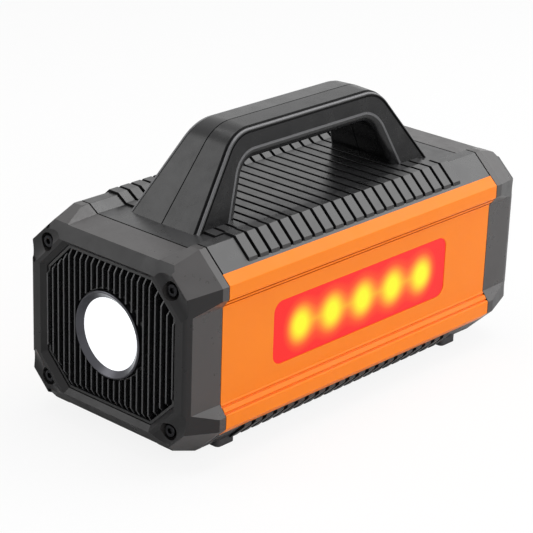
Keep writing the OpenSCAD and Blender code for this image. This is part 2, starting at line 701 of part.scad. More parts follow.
module cap() difference() {
    union() {
        difference() {
            cap_outside();
            difference() {
                cap_inside();
                recess_cut(cap_wall);
                valley_cuts(cap_wall);
            }
            recess_cut(0);
            valley_cuts(0);
            lean_cut(1);
            lean_cut(-1);
        }
        intersection() {
            four_corners(screw_x, screw_z) rod(well_r + 1.6, 0, cap_l);
            cap_outside();
        }
        spigot();
    }
    for (sx = [0, 1], sz = [0, 1]) mirror([sx, 0, 0]) mirror([0, 0, sz])
        translate([screw_x + scoop_out, 0, screw_z + scoop_out]) scoop();
    loft([inset_closed(opening, bevel), inset_closed(opening, -over)], [cap_l - bevel, cap_l + over]);
    along_y(-cap_l - over, cap_l + over + spigot_l) polygon(inset_closed(opening, bevel));
    four_corners(screw_x, screw_z) {
        rod(well_r, cap_l - well_d, cap_l + over);
        rod(screw_r + shank_gap, -over, cap_l);
    }
    each_insert_screw() rod(small_r + thread_gap, rim_back - over, rim_back + 2.6);
    // Room for the flange of the insert
    along_y(-rim_back, rim_back + over) difference() {
        union() {
            polygon(inset_closed(opening, -flange_lap - insert_gap));
            tabs(insert_gap);
        }
        for (sx = [-1, 1], sz = [-1, 1]) translate([sx * screw_x, sz * screw_z]) circle(well_r + 1.6);
    }
}
module spigot() along_y(-0.5, spigot_l + 0.5) difference() {
    polygon(inset_closed(section, wall + spigot_fit));
    polygon(inset_closed(section, cap_wall));
}
insert_screw_x = open_w / 2 + 1.8;
insert_screw_z = 12;
tab_h = 8;
tab_reach = 2.2;
module each_insert_screw() four_corners(insert_screw_x, insert_screw_z) children();
// The tabs on both sides of an insert, which carry its screws
module tabs(grow) for (sx = [-1, 1], sz = [-1, 1]) translate([sx * insert_screw_x, sz * insert_screw_z])
    square([2 * (tab_reach + grow), tab_h + 2 * grow], center = true);
module front_frame() at_axis() translate([0, -body_l / 2, 0]) children();
module rear_frame() at_axis() translate([0, body_l / 2, 0]) rotate([0, 0, 180]) children();

module front_cap() color("#3d3d3f") front_frame() cap();
module rear_cap() color("#3d3d3f") rear_frame() cap();

module cap_screws() four_corners(screw_x, screw_z) difference() {
    union() {
        rod(screw_r, -grip_l, cap_l - well_d);
        rod(head_r, cap_l - well_d, cap_l - well_d + head_h);
    }
    rod(socket_af / 2 / cos(30), cap_l - well_d + head_h / 2, cap_l - well_d + head_h + over, $fn = 6);
}
module front_screws() color("#1c1c1e") front_frame() cap_screws();
module rear_screws() color("#1c1c1e") rear_frame() cap_screws();

// What both inserts share: a flange that sits behind the rim
module insert_flange() along_y(-rim_back, flange_t) difference() {
    union() {
        polygon(inset_closed(opening, -flange_lap));
        tabs(0);
    }
    for (sx = [-1, 1], sz = [-1, 1]) translate([sx * screw_x, sz * screw_z])
        circle(well_r + 1.6 + insert_gap);
}
insert_line = inset_closed(opening, bevel + insert_gap);
module insert_screws() each_insert_screw() rotate([90, 0, 0]) translate([0, 0, rim_back - flange_t])
    small_screw(flange_t + 2.2);

// ---- grille ----
fin_front = cap_l - fin_sink;
plate_front = fin_front - fin_depth;
plate_back = plate_front - plate_t;
frame_front = cap_l - frame_sink;
frame_line = inset_closed(insert_line, frame_t);
frame_half_h = open_h / 2 - bevel - insert_gap - frame_t;
tunnel_gap = 0.15;
tunnel_t = 1.4;
tunnel_back = 2;
tunnel_back_r = bezel_r + 3.5;

// Height of the frame's inside at a distance x from the middle
function frame_z(x) = let (a = frame_line[1], b = frame_line[2])
    abs(x) <= b.x ? b.y : b.y + (a.y - b.y) * (abs(x) - b.x) / (a.x - b.x);

module fin(x) {
    top = min(frame_z(x - fin_t / 2), frame_z(x + fin_t / 2)) + frame_t / 2;
    reach = top - frame_t / 2;
    along_x(x - fin_t / 2, fin_t) polygon([[-plate_front + over, -top], [-(fin_front - fin_bevel), -top],
        [-(fin_front - fin_bevel), -reach], [-fin_front, -reach + fin_bevel_z],
        [-fin_front, reach - fin_bevel_z], [-(fin_front - fin_bevel), reach],
        [-(fin_front - fin_bevel), top], [-plate_front + over, top]]);
}
module front_grille() color("#1e1e20") front_frame() difference() {
    union() {
        difference() {
            along_y(-frame_front, frame_front - plate_back) polygon(insert_line);
            along_y(-frame_front - over, frame_front - plate_front + over) polygon(frame_line);
        }
        intersection() {
            for (i = [0:fin_n - 1]) fin((i - (fin_n - 1) / 2) * fin_pitch);
            along_y(-cap_l, cap_l) polygon(inset_closed(insert_line, frame_t / 2));
        }
        insert_flange();
        rod(bezel_r + tunnel_gap + tunnel_t, tunnel_back, fin_front - fin_bevel);
        rod(tunnel_back_r, tunnel_back, plate_back);
    }
    rod(bezel_r + tunnel_gap, -over, cap_l);
    each_insert_screw() rod(small_r + shank_gap, rim_back - flange_t - over, rim_back + over);
    each_torch_screw() rod(small_r + thread_gap, tunnel_back - over, tunnel_back + torch_thread + 0.5);
}
module grille_screws() color("#b8b8bc") front_frame() insert_screws();

// ---- torch ----
bezel_front = cap_l - bezel_sink;
lens_front = bezel_front - funnel_d;
lens_back = lens_front - lens_t;
seal_back = lens_back - seal_t;
tube_r = lens_r + lens_lap + tunnel_gap;
torch_flange_t = 1.8;
bezel_back = tunnel_back - torch_flange_t;
torch_screw_ring = (bezel_r + tunnel_gap + tunnel_back_r) / 2;
module each_torch_screw() for (i = [0:2]) rotate([0, 90 + i * 120, 0])
    translate([torch_screw_ring, 0, 0]) children();

module torch_bezel() color("#4a4a4c") front_frame() difference() {
    rotate([90, 0, 0]) rotate_extrude($fn = 96) polygon([
        [tube_r, bezel_back], [tunnel_back_r, bezel_back], [tunnel_back_r, tunnel_back], [bezel_r, tunnel_back],
        [bezel_r, bezel_front - bezel_edge / 2], [bezel_r - bezel_edge / 2, bezel_front],
        [bezel_r - bezel_edge, bezel_front], [lens_r, lens_front], [tube_r, lens_front]]);
    each_torch_screw() rod(small_r + shank_gap, bezel_back - over, tunnel_back + over);
}
module torch_lens() color("white", 0.9) front_frame() rod(lens_r + lens_lap, lens_back, lens_front, $fn = 96);
module lens_seal() color("#202020") front_frame() rotate([90, 0, 0]) rotate_extrude($fn = 96)
    translate([lens_r - 0.3, seal_back]) square([lens_lap + 0.3, seal_t]);
reflector_rim = lens_r - 0.5;
bowl_back = bezel_back + board_t + 1.6;
bowl_k = (seal_back - bowl_back) / (pow(reflector_rim, 2) - pow(reflector_hole, 2));
bowl = [for (i = [0:8]) let (r = reflector_hole + (reflector_rim - reflector_hole) * i / 8)
    [r, bowl_back + bowl_k * (r * r - reflector_hole * reflector_hole)]];
bowl_outside = inset_open(bowl, -reflector_t);
module torch_reflector() color("#d8dade") front_frame() rotate([90, 0, 0]) rotate_extrude($fn = 96)
    polygon(concat(bowl, [[lens_r + lens_lap, seal_back], [lens_r + lens_lap, seal_back - 1.5]],
        [for (i = [7:-1:2]) bowl_outside[i]],
        [[reflector_hole + reflector_t, bezel_back + board_t + 0.1], [reflector_hole, bezel_back + board_t + 0.1]]));
module torch_board() color("#f2f2f0") front_frame() rod(tube_r - 1, bezel_back, bezel_back + board_t);
module torch_chip() color("#ffe680") front_frame() {
    slab(chip_w, chip_w, bezel_back + board_t, bezel_back + board_t + 0.8);
    rod(chip_w * 0.42, bezel_back + board_t + 0.7, bezel_back + board_t + 1.4);
}
sink_base = 3;
torch_thread = 4.5;
module torch_heat_sink() color("#b4b6ba") front_frame() difference() {
    union() {
        rod(tunnel_back_r, bezel_back - sink_base, bezel_back);
        rod(bezel_r * 0.45, bezel_back - sink_base - sink_l, bezel_back - sink_base);
        for (i = [0:sink_fins - 1]) rotate([0, i * 360 / sink_fins, 0])
            translate([0, -(bezel_back - sink_base + 0.5), -0.6]) cube([bezel_r - 2, sink_l + 0.5, 1.2]);
    }
    each_torch_screw() rod(small_r + shank_gap, bezel_back - sink_base - over, bezel_back + over);
}
module torch_screws() color("#b8b8bc") front_frame() each_torch_screw()
    rotate([90, 0, 0]) translate([0, 0, bezel_back - sink_base]) small_screw(sink_base + torch_flange_t + torch_thread);

// ---- handle ----
// Half of an arch from its foot to the middle of its top, with a round bend
function arch_half(half_l, rise, angle, r, steps = 8) =
    let (corner = half_l - rise / tan(angle), back = r * tan(angle / 2))
    concat([[half_l, 0]], [for (i = [0:steps])
        let (a = 90 - angle + i * angle / steps) [corner - back + r * cos(a), rise - r + r * sin(a)]]);
function arch(half_l, rise, angle, r) = let (half = arch_half(half_l, rise, angle, r)) concat(half, mirrored(half));

outer_half = handle_l / 2;
inner_half = gap_l / 2;
lean = (foot_w - grip_w) / 2 / handle_h;    // how much each side leans in per millimetre of height
handle_floor = 4;
module handle_outline() difference() {
    polygon(arch(outer_half, handle_h, leg_angle, bend_r));
    translate([0, -over]) square([2 * outer_half, 2 * over], center = true);
    gap_outline(0);
}
module gap_outline(grow) {
    side = grow / sin(gap_angle);
    rise = gap_h + grow;
    polygon(concat(arch(inner_half + side, rise, gap_angle, gap_r + grow),
        [[-inner_half - side - over / tan(gap_angle), -over], [inner_half + side + over / tan(gap_angle), -over]]));
}
module hollow_outline() difference() {
    shrink = handle_wall / sin(leg_angle);
    polygon(arch(outer_half - shrink, handle_h - handle_wall, leg_angle, bend_r - handle_wall));
    gap_outline(handle_wall);
    translate([0, -over]) square([2 * outer_half, 2 * (handle_floor + over)], center = true);
}
// Everything between the seam and a side wall set in by t
module side_wedge(t) {
    low = foot_w / 2 + lean * over - t;
    high = grip_w / 2 - lean * over - t;
    along_y(-outer_half - over, 2 * (outer_half + over)) polygon([
        [0, -over], [low, -over], [high, handle_h + over], [0, handle_h + over]]);
}
module in_handle() at_axis() translate([0, handle_mid, valley_z]) children();
// The cross screws sit midway between the outer and the inner face of each leg
cross_screw_z = 17;
cross_screw_y = (outer_half - cross_screw_z / tan(leg_angle) + inner_half - cross_screw_z / tan(gap_angle)) / 2;
cross_screw_places = [[-cross_screw_y, cross_screw_z], [cross_screw_y, cross_screw_z]];
cross_r = 1.5;
cross_post_r = 3.6;
cross_head_r = 2.85;
cross_head_d = 3;
cross_pilot = 9;
function side_x(z) = foot_w / 2 - lean * z;

// What the step takes away along an outer edge
module edge_step() difference() {
    along_x(over, foot_w / 2 + over) difference() {
        polygon(arch(outer_half + handle_wall, handle_h + handle_wall, leg_angle, bend_r + handle_wall));
        polygon(concat(arch(outer_half - edge_step_d / sin(leg_angle), handle_h - edge_step_d, leg_angle,
                            bend_r - edge_step_d), [[-handle_l, -handle_h], [handle_l, -handle_h]]));
    }
    side_wedge(edge_step_w);
}
module handle_half() {
    difference() {
        intersection() {
            along_x(0, foot_w / 2 + over) handle_outline();
            side_wedge(0);
        }
        edge_step();
        intersection() {
            along_x(-over, foot_w / 2 + over) hollow_outline();
            side_wedge(handle_wall);
        }
    }
    // Posts for the screws that come up through the top shell
    for (sy = [-1, 1]) translate([handle_screw_x, sy * handle_screw_y, handle_floor - 0.5])
        cylinder(h = handle_boss_h - handle_floor, r = handle_post_r);
    // Posts that meet at the seam
    intersection() {
        for (p = cross_screw_places) translate([0, p.x, p.y]) rotate([0, 90, 0])
            cylinder(h = foot_w / 2, r = cross_post_r);
        side_wedge(handle_wall / 2);
    }
}
module handle_holes() for (sy = [-1, 1]) translate([handle_screw_x, sy * handle_screw_y, -over])
    cylinder(h = handle_boss_h - 2 + over, r = handle_screw_r + thread_gap);

module handle_right() color("#3b3b3d") in_handle() difference() {
    handle_half();
    handle_holes();
    for (p = cross_screw_places) translate([-over, p.x, p.y]) rotate([0, 90, 0])
        cylinder(h = cross_pilot + over, r = cross_r + thread_gap);
}
module handle_left() color("#3b3b3d") in_handle() mirror([1, 0, 0]) difference() {
    handle_half();
    handle_holes();
    for (p = cross_screw_places) translate([0, p.x, p.y]) rotate([0, 90, 0]) {
        translate([0, 0, -over]) cylinder(h = foot_w, r = cross_r + shank_gap);
        translate([0, 0, side_x(p.y) - cross_head_d - 1.5]) cylinder(h = foot_w, r = cross_head_r + shank_gap);
    }
}
module handle_screws() color("#b8b8bc") at_axis() each_handle_screw() {
    translate([0, 0, ceiling_z]) cylinder(h = wall + handle_boss_h - 2.5, r = handle_screw_r);
    translate([0, 0, ceiling_z - handle_head_h]) cylinder(h = handle_head_h, r = handle_head_r);
}
module handle_cross_screws() color("#1c1c1e") in_handle() mirror([1, 0, 0])
    for (p = cross_screw_places) translate([0, p.x, p.y]) rotate([0, 90, 0]) {
        seat = side_x(p.y) - cross_head_d - 1.5;
        translate([0, 0, -cross_pilot + 0.5]) cylinder(h = seat + cross_pilot - 0.5, r = cross_r);
        difference() {
            translate([0, 0, seat]) cylinder(h = 2.4, r = cross_head_r);
            translate([0, 0, seat + 1.2]) cylinder(h = 2, r = socket_af / 2 / cos(30), $fn = 6);
        }
    }

// ---- rear panel ----
panel_front = cap_l - panel_sink;
panel_back = panel_front - panel_t;
board_front = panel_back - 5.9;
board_back = board_front - board_t;
pocket_floor = panel_front - cover_t - 0.2;
socket_front = pocket_floor - 0.1;
usb_hinge_z = usb_z + usb_cover_h / 2 - barrel_r;
jump_hinge_z = jump_z + jump_cover_h / 2 - barrel_r;
hinge_depth = panel_front - barrel_r + 0.3;
boost_x = button_x;
boost_z = jump_z;
usb_c_x = usb_cover_w / 2 - usb_c_end;
usb_a_places = [-usb_a_pitch * 0.5 - usb_c_x * 0.5, usb_a_pitch * 0.5 - usb_c_x * 0.5];
lip_h = 8;
nail_w = 12;
nail_r = 2.6;

module each_usb_a() for (x = usb_a_places) translate([x, 0, usb_z - barrel_r / 2]) children();
module at_usb_c() translate([usb_c_x, 0, usb_z - barrel_r / 2]) children();
module at_jump() translate([0, 0, jump_z - barrel_r / 2]) children();
module at_button(x, z) translate([x, 0, z]) children();

module cover_pocket(w, h, z, hinge_z) {
    translate([0, 0, z]) slab(w + 2 * cover_gap, h + 2 * cover_gap, pocket_floor, panel_front + over);
    translate([0, 0, hinge_z]) rotate([0, 90, 0]) translate([0, -hinge_depth, 0])
        cylinder(h = w + 2 * cover_gap, r = barrel_r + cover_gap, center = true);
    translate([0, 0, hinge_z]) slab(w + 2 * cover_gap, 2 * (barrel_r + cover_gap), hinge_depth, panel_front + over);
    translate([0, -hinge_depth, hinge_z]) rotate([0, 90, 0])
        cylinder(h = w + 2 * cover_gap + 2 * pin_hold + 0.2, r = pin_r + thread_gap, center = true);
    // Room for a fingertip under the free edge
    translate([0, -panel_front - 1, z - h / 2 - cover_gap]) rotate([0, 90, 0]) cylinder(h = nail_w, r = nail_r, center = true);
}
module cover(w, h, z, hinge_z) difference() {
    union() {
        translate([0, 0, z - barrel_r / 2]) slab(w, h - barrel_r, pocket_floor + 0.2, panel_front);
        translate([0, -hinge_depth, hinge_z]) rotate([0, 90, 0]) cylinder(h = w, r = barrel_r, center = true);
        translate([0, 0, z - h / 2 + 0.7]) slab(9, 1.4, pocket_floor + 0.2, panel_front + 0.5);
    }
    translate([0, -hinge_depth, hinge_z]) rotate([0, 90, 0]) cylinder(h = w + 2 * over, r = pin_r + pin_gap, center = true);
}
module cover_pin(w, hinge_z) translate([0, -hinge_depth, hinge_z]) rotate([0, 90, 0])
    cylinder(h = w + 2 * cover_gap + 2 * pin_hold, r = pin_r, center = true);

module control_panel() color("#232325") rear_frame() difference() {
    union() {
        along_y(-panel_front, panel_t) polygon(insert_line);
        insert_flange();
        translate([0, 0, usb_hinge_z]) slab(usb_cover_w + 8, 2 * barrel_r + 3, panel_back, panel_front);
    }
    each_insert_screw() rod(small_r + shank_gap, rim_back - flange_t - over, rim_back + over);
    translate([0, 0, row_z]) {
        plate(display_w + 2 * thread_gap, display_h + 2 * thread_gap, 2, panel_front - display_t, panel_front + over);
        plate(display_w - 3, display_h - 3, 1, panel_back - over, panel_front);
    }
    for (x = [-1, 1]) at_button(x * button_x, row_z) rod(button_r + button_gap, panel_back - over, panel_front + over);
    at_button(boost_x, boost_z) rod(button_r + button_gap, panel_back - over, panel_front + over);
    cover_pocket(usb_cover_w, usb_cover_h, usb_z, usb_hinge_z);
    cover_pocket(jump_cover_w, jump_cover_h, jump_z, jump_hinge_z);
    each_usb_a() slab(usb_a_w + 0.4, usb_a_h + 0.4, panel_back - over, panel_front);
    at_usb_c() plate(usb_c_w + 0.4, usb_c_h + 0.4, usb_c_h / 2, panel_back - over, panel_front);
    at_jump() plate(jump_w + 0.2, jump_h + 0.2, 2.1, panel_back - over, panel_front);
}
module panel_screws() color("#b8b8bc") rear_frame() insert_screws();
module display_window() color("#101418") rear_frame() translate([0, 0, row_z])
    plate(display_w, display_h, 2 - thread_gap, panel_front - display_t, panel_front);
module display_module() color("#d8dce0") rear_frame() translate([0, 0, row_z])
    slab(display_w - 2 * display_edge, display_h - 2 * display_edge, board_front, panel_back - 0.2);

display_edge = 1;
jump_flange_x = 2;
jump_flange_z = 1.8;
jump_hole = 0.5;
board_outline = [[34, -18], [34, 26], [27, 32], [-27, 32], [-34, 26], [-34, -18], [-24, -30], [24, -30]];
module control_board() color("#1f5f3a") rear_frame() difference() {
    along_y(-board_front, board_t) polygon(board_outline);
    at_jump() slab(jump_w + 2 * (jump_flange_x + jump_hole), jump_h + 2 * (jump_flange_z + jump_hole),
        board_back - over, board_front + over);
    for (x = [-1, 1]) translate([x * 30.5, 0, 0]) rod(small_r + shank_gap, board_back - over, board_front + over);
}
switch_top = panel_back - button_gap - button_lip - travel - 0.05;
tact_w = 6;
module tact_switch() {
    slab(tact_w, tact_w, board_front, switch_top - 0.7);
    rod(1.75, switch_top - 0.8, switch_top);
}
module tact_switches() color("#303032") rear_frame() {
    for (x = [-1, 1]) at_button(x * button_x, row_z) tact_switch();
    at_button(boost_x, boost_z) tact_switch();
}
module button(r, dish) difference() {
    union() {
        rod(r, panel_back - button_gap - 0.1, panel_front + button_proud);
        rod(r + button_lip, panel_back - button_gap - button_lip, panel_back - button_gap);
    }
    translate([0, -(panel_front + button_proud + dish - 0.5), 0]) sphere(dish, $fn = 64);
}
dish_r = 22;
module power_button() color("#e2762a") rear_frame() at_button(-button_x, row_z) button(button_r, dish_r);
module light_button() color("#505054") rear_frame() at_button(button_x, row_z) button(button_r, dish_r);
module boost_button() color("#c03028") rear_frame() at_button(boost_x, boost_z) button(button_r, dish_r);

module usb_shell(w, h, r) difference() {
    if (r > 0) plate(w, h, r, board_front, socket_front);
    else slab(w, h, board_front, socket_front);
    if (r > 0) plate(w - 2 * socket_wall, h - 2 * socket_wall, r - socket_wall, board_front + 1, socket_front + over);
    else slab(w - 2 * socket_wall, h - 2 * socket_wall, board_front + 1, socket_front + over);
}
module usb_a_sockets() color("#c8cacc") rear_frame() each_usb_a() {
    usb_shell(usb_a_w, usb_a_h, 0);
    translate([0, 0, usb_a_h / 2 - socket_wall - 1.6]) slab(usb_a_w - 2, 1.8, board_front + 0.5, socket_front - 1);
}
module usb_c_socket() color("#c8cacc") rear_frame() at_usb_c() {
    usb_shell(usb_c_w, usb_c_h, usb_c_h / 2 - 0.01);
    slab(usb_c_w - 2.4, 0.7, board_front + 0.5, socket_front - 0.8);
}
contact_out = contact_r + contact_wall;
contact_back = -1;
contact_end = 4;
contact_front = socket_front - 1.5;
module each_contact() for (x = [-1, 1]) translate([x * contact_pitch / 2, 0, 0]) children();
module jump_socket() color("#2a62b8") rear_frame() at_jump() difference() {
    union() {
        plate(jump_w, jump_h, 2, board_back - 2, socket_front);
        slab(jump_w + 2 * jump_flange_x, jump_h + 2 * jump_flange_z, panel_back - 2, panel_back);
    }
    each_contact() rod(contact_out + thread_gap, board_back - 2 - over, socket_front + over);
}
module jump_contacts() color("#d8b040") rear_frame() at_jump() each_contact() difference() {
    rod(contact_out, contact_back, contact_front);
    rod(contact_r, contact_back + contact_end, contact_front + over);
}
module usb_cover() color("#1b1b1c") rear_frame() cover(usb_cover_w, usb_cover_h, usb_z, usb_hinge_z);
module usb_cover_pin() color("#c8cacc") rear_frame() cover_pin(usb_cover_w, usb_hinge_z);
module jump_cover() color("#1b1b1c") rear_frame() cover(jump_cover_w, jump_cover_h, jump_z, jump_hinge_z);
module jump_cover_pin() color("#c8cacc") rear_frame() cover_pin(jump_cover_w, jump_hinge_z);

// ---- battery ----
module each_cell() for (i = [0:cell_n - 1]) translate([0, stack_y, stack_z + i * cell_step]) children();
module battery_cells() color("#b9bdc4") at_axis() each_cell() {
    linear_extrude(cell_t) rounded(cell_w, cell_l, 3);
    for (x = [-1, 1]) translate([x * cell_w / 4 - 5, cell_l / 2 - 0.5, cell_t / 2 - 0.2]) cube([10, 5, 0.4]);
}
module cell_pads() color("#6a6e74") at_axis() for (i = [0:cell_n - 2])
    translate([0, stack_y, stack_z + i * cell_step + cell_t]) linear_extrude(pad_t) square([cell_w - 6, cell_l - 10], center = true);
module battery_tray() color("#54565a") at_axis() translate([0, stack_y, tray_z]) difference() {
    union() {
        linear_extrude(tray_h) square([cell_w + 2 * (cell_gap + tray_wall), cell_l + 2 * (cell_gap + tray_wall)], center = true);
        for (sx = [-1, 1], sy = [-1, 1]) translate([sx * ear_x, sy * tray_screw_y, 0])
            linear_extrude(tray_wall) square([9, 8], center = true);
    }
    translate([0, 0, tray_wall]) linear_extrude(tray_h) square([cell_w + 2 * cell_gap, cell_l + 2 * cell_gap], center = true);
    translate([0, cell_l / 2, tray_wall]) linear_extrude(tray_h) square([cell_w - 4, 12], center = true);
    for (sx = [-1, 1], sy = [-1, 1]) translate([sx * ear_x, sy * tray_screw_y, -over])
        cylinder(h = tray_wall + 2 * over, r = small_r + shank_gap);
}
module tray_screws() color("#b8b8bc") at_axis() each_tray_screw() translate([0, 0, tray_z + tray_wall])
    rotate([180, 0, 0]) small_screw(tray_wall + tray_thread);
strap_x = cell_w / 2 + cell_gap + tray_wall;
module battery_straps() color("#d8d8d0") at_axis() for (sy = [-1, 1])
    along_y(stack_y + sy * strap_pitch / 2 - strap_w / 2, strap_w) difference() {
        polygon([[-strap_x - strap_t, tray_z + 4], [-strap_x - strap_t, stack_z + stack_h + strap_t],
            [strap_x + strap_t, stack_z + stack_h + strap_t], [strap_x + strap_t, tray_z + 4]]);
        polygon([[-strap_x, tray_z], [-strap_x, stack_z + stack_h], [strap_x, stack_z + stack_h], [strap_x, tray_z]]);
    }

// ---- main board ----
module on_board(x, y) at_axis() translate([x, board_y + y, board_top]) children();
module main_board() color("#1f5f3a") at_axis() difference() {
    translate([-board_w / 2, board_y - board_l / 2, board_z]) cube([board_w, board_l, board_t]);
    each_board_screw() translate([0, 0, board_z - over]) cylinder(h = board_t + 2 * over, r = small_r + shank_gap);
}
board_thread = 6;
module board_screws() color("#b8b8bc") at_axis() each_board_screw() translate([0, 0, board_z])
    small_screw(board_t + board_thread);
relay_w = 26;
relay_l = 22;
relay_h = 14;
relay_y = board_l / 2 - relay_l / 2 - 1;
lead_rise = 8;
lead_z = board_top + lead_rise;
module relay() color("#30343a") on_board(0, relay_y) linear_extrude(relay_h) square([relay_w, relay_l], center = true);
can_n = 4;
can_r = 6;
can_h = 15;
can_pitch = 12.5;
can_edge = 14;
module capacitors() color("#3a4a78")
    for (i = [0:can_n - 1]) on_board((i - (can_n - 1) / 2) * can_pitch, -board_l / 2 + can_edge)
        cylinder(h = can_h, r = can_r);
coil_r = 12;
coil_hole = 5;
coil_h = 11;
coil_y = 18;
module inductor() color("#b06a30") on_board(0, -coil_y) difference() {
    cylinder(h = coil_h, r = coil_r);
    translate([0, 0, -over]) cylinder(h = coil_h + 2 * over, r = coil_hole);
}

// The leads run from the relay to the jump socket, each in one upright plane
lead_start = board_y + relay_y + relay_l / 2;
lead_end = body_l / 2 + contact_back;
lead_turn = (lead_start + lead_end) / 2;
lead_low = jump_z - barrel_r / 2;
// A quarter bend in Y and Z, from angle a to a + 90 about its middle
module elbow(y, z, a) translate([0, y, z]) rotate([90, 0, 90]) rotate([0, 0, a])
    rotate_extrude(angle = 90) translate([lead_bend, 0]) circle(lead_r);
module level(from, to, z) translate([0, from, z]) rotate([-90, 0, 0]) cylinder(h = to - from, r = lead_r);
module lead(x) at_axis() translate([x, 0, 0]) {
    level(lead_start, lead_turn - lead_bend, lead_z);
    elbow(lead_turn - lead_bend, lead_z - lead_bend, 0);
    translate([0, lead_turn, lead_low + lead_bend]) cylinder(h = lead_z - lead_low - 2 * lead_bend, r = lead_r);
    elbow(lead_turn + lead_bend, lead_low + lead_bend, 180);
    level(lead_turn + lead_bend, lead_end, lead_low);
}
module positive_lead() color("#c22020") lead(contact_pitch / 2);
module negative_lead() color("#202020") lead(-contact_pitch / 2);

front_cap();
rear_cap();
top_shell();
bottom_shell();
side_panel_right();
side_panel_left();
handle_right();
handle_left();
handle_screws();
handle_cross_screws();
feet();
front_screws();
rear_screws();
front_grille();
grille_screws();
torch_bezel();
torch_lens();
lens_seal();
torch_reflector();
torch_board();
torch_chip();
torch_heat_sink();
torch_screws();
warning_lens();
warning_tray();
warning_board();
warning_lights();
warning_screws();
control_panel();
panel_screws();
display_window();
display_module();
control_board();
tact_switches();
power_button();
light_button();
boost_button();
usb_a_sockets();
usb_c_socket();
usb_cover();
usb_cover_pin();
jump_socket();
jump_contacts();
jump_cover();
jump_cover_pin();
battery_cells();
cell_pads();
battery_tray();
tray_screws();
battery_straps();
main_board();
board_screws();
relay();
capacitors();
inductor();
positive_lead();
negative_lead();
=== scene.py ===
"""Jump starter pack, dressed for its picture.

Everything is in metres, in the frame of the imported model: +Z up, the torch
towards -Y, the warning lamp towards +X, the ground at Z = 0.
"""
import math

import bmesh
import bpy
from mathutils import Matrix, Vector


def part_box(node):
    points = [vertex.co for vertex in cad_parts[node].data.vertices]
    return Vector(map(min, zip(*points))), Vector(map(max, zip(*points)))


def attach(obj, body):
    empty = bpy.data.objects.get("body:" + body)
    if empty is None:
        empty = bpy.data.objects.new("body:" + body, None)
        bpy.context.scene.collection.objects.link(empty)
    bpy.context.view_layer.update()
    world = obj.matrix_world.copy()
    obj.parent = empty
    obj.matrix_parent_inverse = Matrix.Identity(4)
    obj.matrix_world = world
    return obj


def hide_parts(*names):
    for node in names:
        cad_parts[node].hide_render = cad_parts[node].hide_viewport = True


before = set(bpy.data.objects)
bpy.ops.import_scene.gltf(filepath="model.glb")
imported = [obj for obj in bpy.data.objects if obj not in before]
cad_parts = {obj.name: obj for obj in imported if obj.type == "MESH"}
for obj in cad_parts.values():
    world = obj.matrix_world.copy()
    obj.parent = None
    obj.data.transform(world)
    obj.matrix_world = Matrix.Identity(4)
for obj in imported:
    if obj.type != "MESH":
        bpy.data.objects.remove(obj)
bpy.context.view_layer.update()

MM = 0.001


# ---- sizes, in millimetres
# Sections are drawn in X and Z, with Z counted from the pack's long axis. What sits in
# a cap has its depth counted outwards from the cap's seam.

X, Y, Z = 0, 1, 2
SIDES = (("right", 1), ("left", -1))  # towards +X and -X
ENDS = (("front", -1), ("rear", 1))  # towards -Y and +Y
CORNERS = ((-1, -1), (1, -1), (1, 1), (-1, 1))


def extent(node, axis):
    """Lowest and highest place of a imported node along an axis."""
    low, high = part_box(node)
    return round(low[axis] / MM, 2), round(high[axis] / MM, 2)


LENS_BOTTOM, LENS_TOP = extent("warning_lens", Z)
AXIS_Z = (LENS_BOTTOM + LENS_TOP) / 2  # height of the long axis over the ground
SEAM_Y = extent("top_shell", Y)[1]  # from the middle to the seam of each cap

# The pack's section: an octagon with a valley under the handle
SPLIT_X = extent("top_shell", X)[1]  # seam between a black shell and a side panel
RAIL_X, RAIL_Z = extent("side_panel_right", X)[1], 33.2  # outer corner of a side rail
SHOULDER_X, SHOULDER_IN = 38.6, 33.2  # outer and inner edge of a shoulder
VALLEY_X, VALLEY_D = 28.0, 3.3  # edge of the valley's floor, and its depth
CAP_BOTTOM, CAP_TOP = extent("front_cap", Z)
ROOF_Z, BELLY_Z = CAP_TOP - AXIS_Z, AXIS_Z - CAP_BOTTOM

# Ribbed shells
SHELL_T, SHELL_EDGE_R = 2.5, 0.8  # wall, and rounding of the plain ends' edges
SEAM_GAP = 0.8  # open joint between a cap and the shells
RIB_COUNT, RIB_PITCH = 21, 7.03
RIB_START = 16.7  # from a cap's seam to half a pitch before the first rib's middle
TOP_GAP, BOTTOM_GAP = 1.7, 2.6  # from one rib to the next
RIB_PROUD = 1.0  # how far the ribs stand above the plain ends
RIB_GROOVE_D = 2.4  # from the ribs' face down to the floor of the grooves
RIB_END_W, RIB_END_D = 1.3, 0.25  # slope at a rib's ends, and how far it runs below the plain ends
RIB_EDGE_R = 0.15
END_GAP = 0.5  # from a plain end to the rib beside it
STRIP_W, STRIP_LAP = 0.7, 0.6  # strip between ribs and seam, and how far it runs in under the ribs
ROOT_LAP = 0.3  # how far ribs and strips run down into the floor

# Side panels
PANEL_T, PANEL_GAP = 2.5, 0.35  # wall, and open joint at each cap
RECESS_X, RECESS_Z = 49.3, 22.5  # face of the recess, and its half height
RAIL_IN_Z = 27.2  # inner edge of a rail, where the slope to the recess begins
RAIL_R, RECESS_R = 0.9, 0.6  # rounding of the rails' edges and of the recess
NOTCH_AT = (0.24, 0.76)  # two fine grooves on each slope, as shares of its width
NOTCH_HALF_W, NOTCH_D = 0.5, 0.8
NOTCH_FLOOR = 0.35  # share of a groove's width that is left at its floor
NOTCH_LIP = 0.12  # the part of a groove's depth that keeps the panel's colour
LENS_RIM, LAMP_R = 2.0, 5.3  # lap of the warning lens behind its window, and the window's corners
LAMP_H = LENS_TOP - LENS_BOTTOM - 2 * LENS_RIM
LAMP_L = 2 * (extent("warning_lens", Y)[1] - LENS_RIM)
LAMP_CUT_IN, LAMP_CUT_OUT = 6.0, 3.0  # how far the window's cutter reaches from the recess

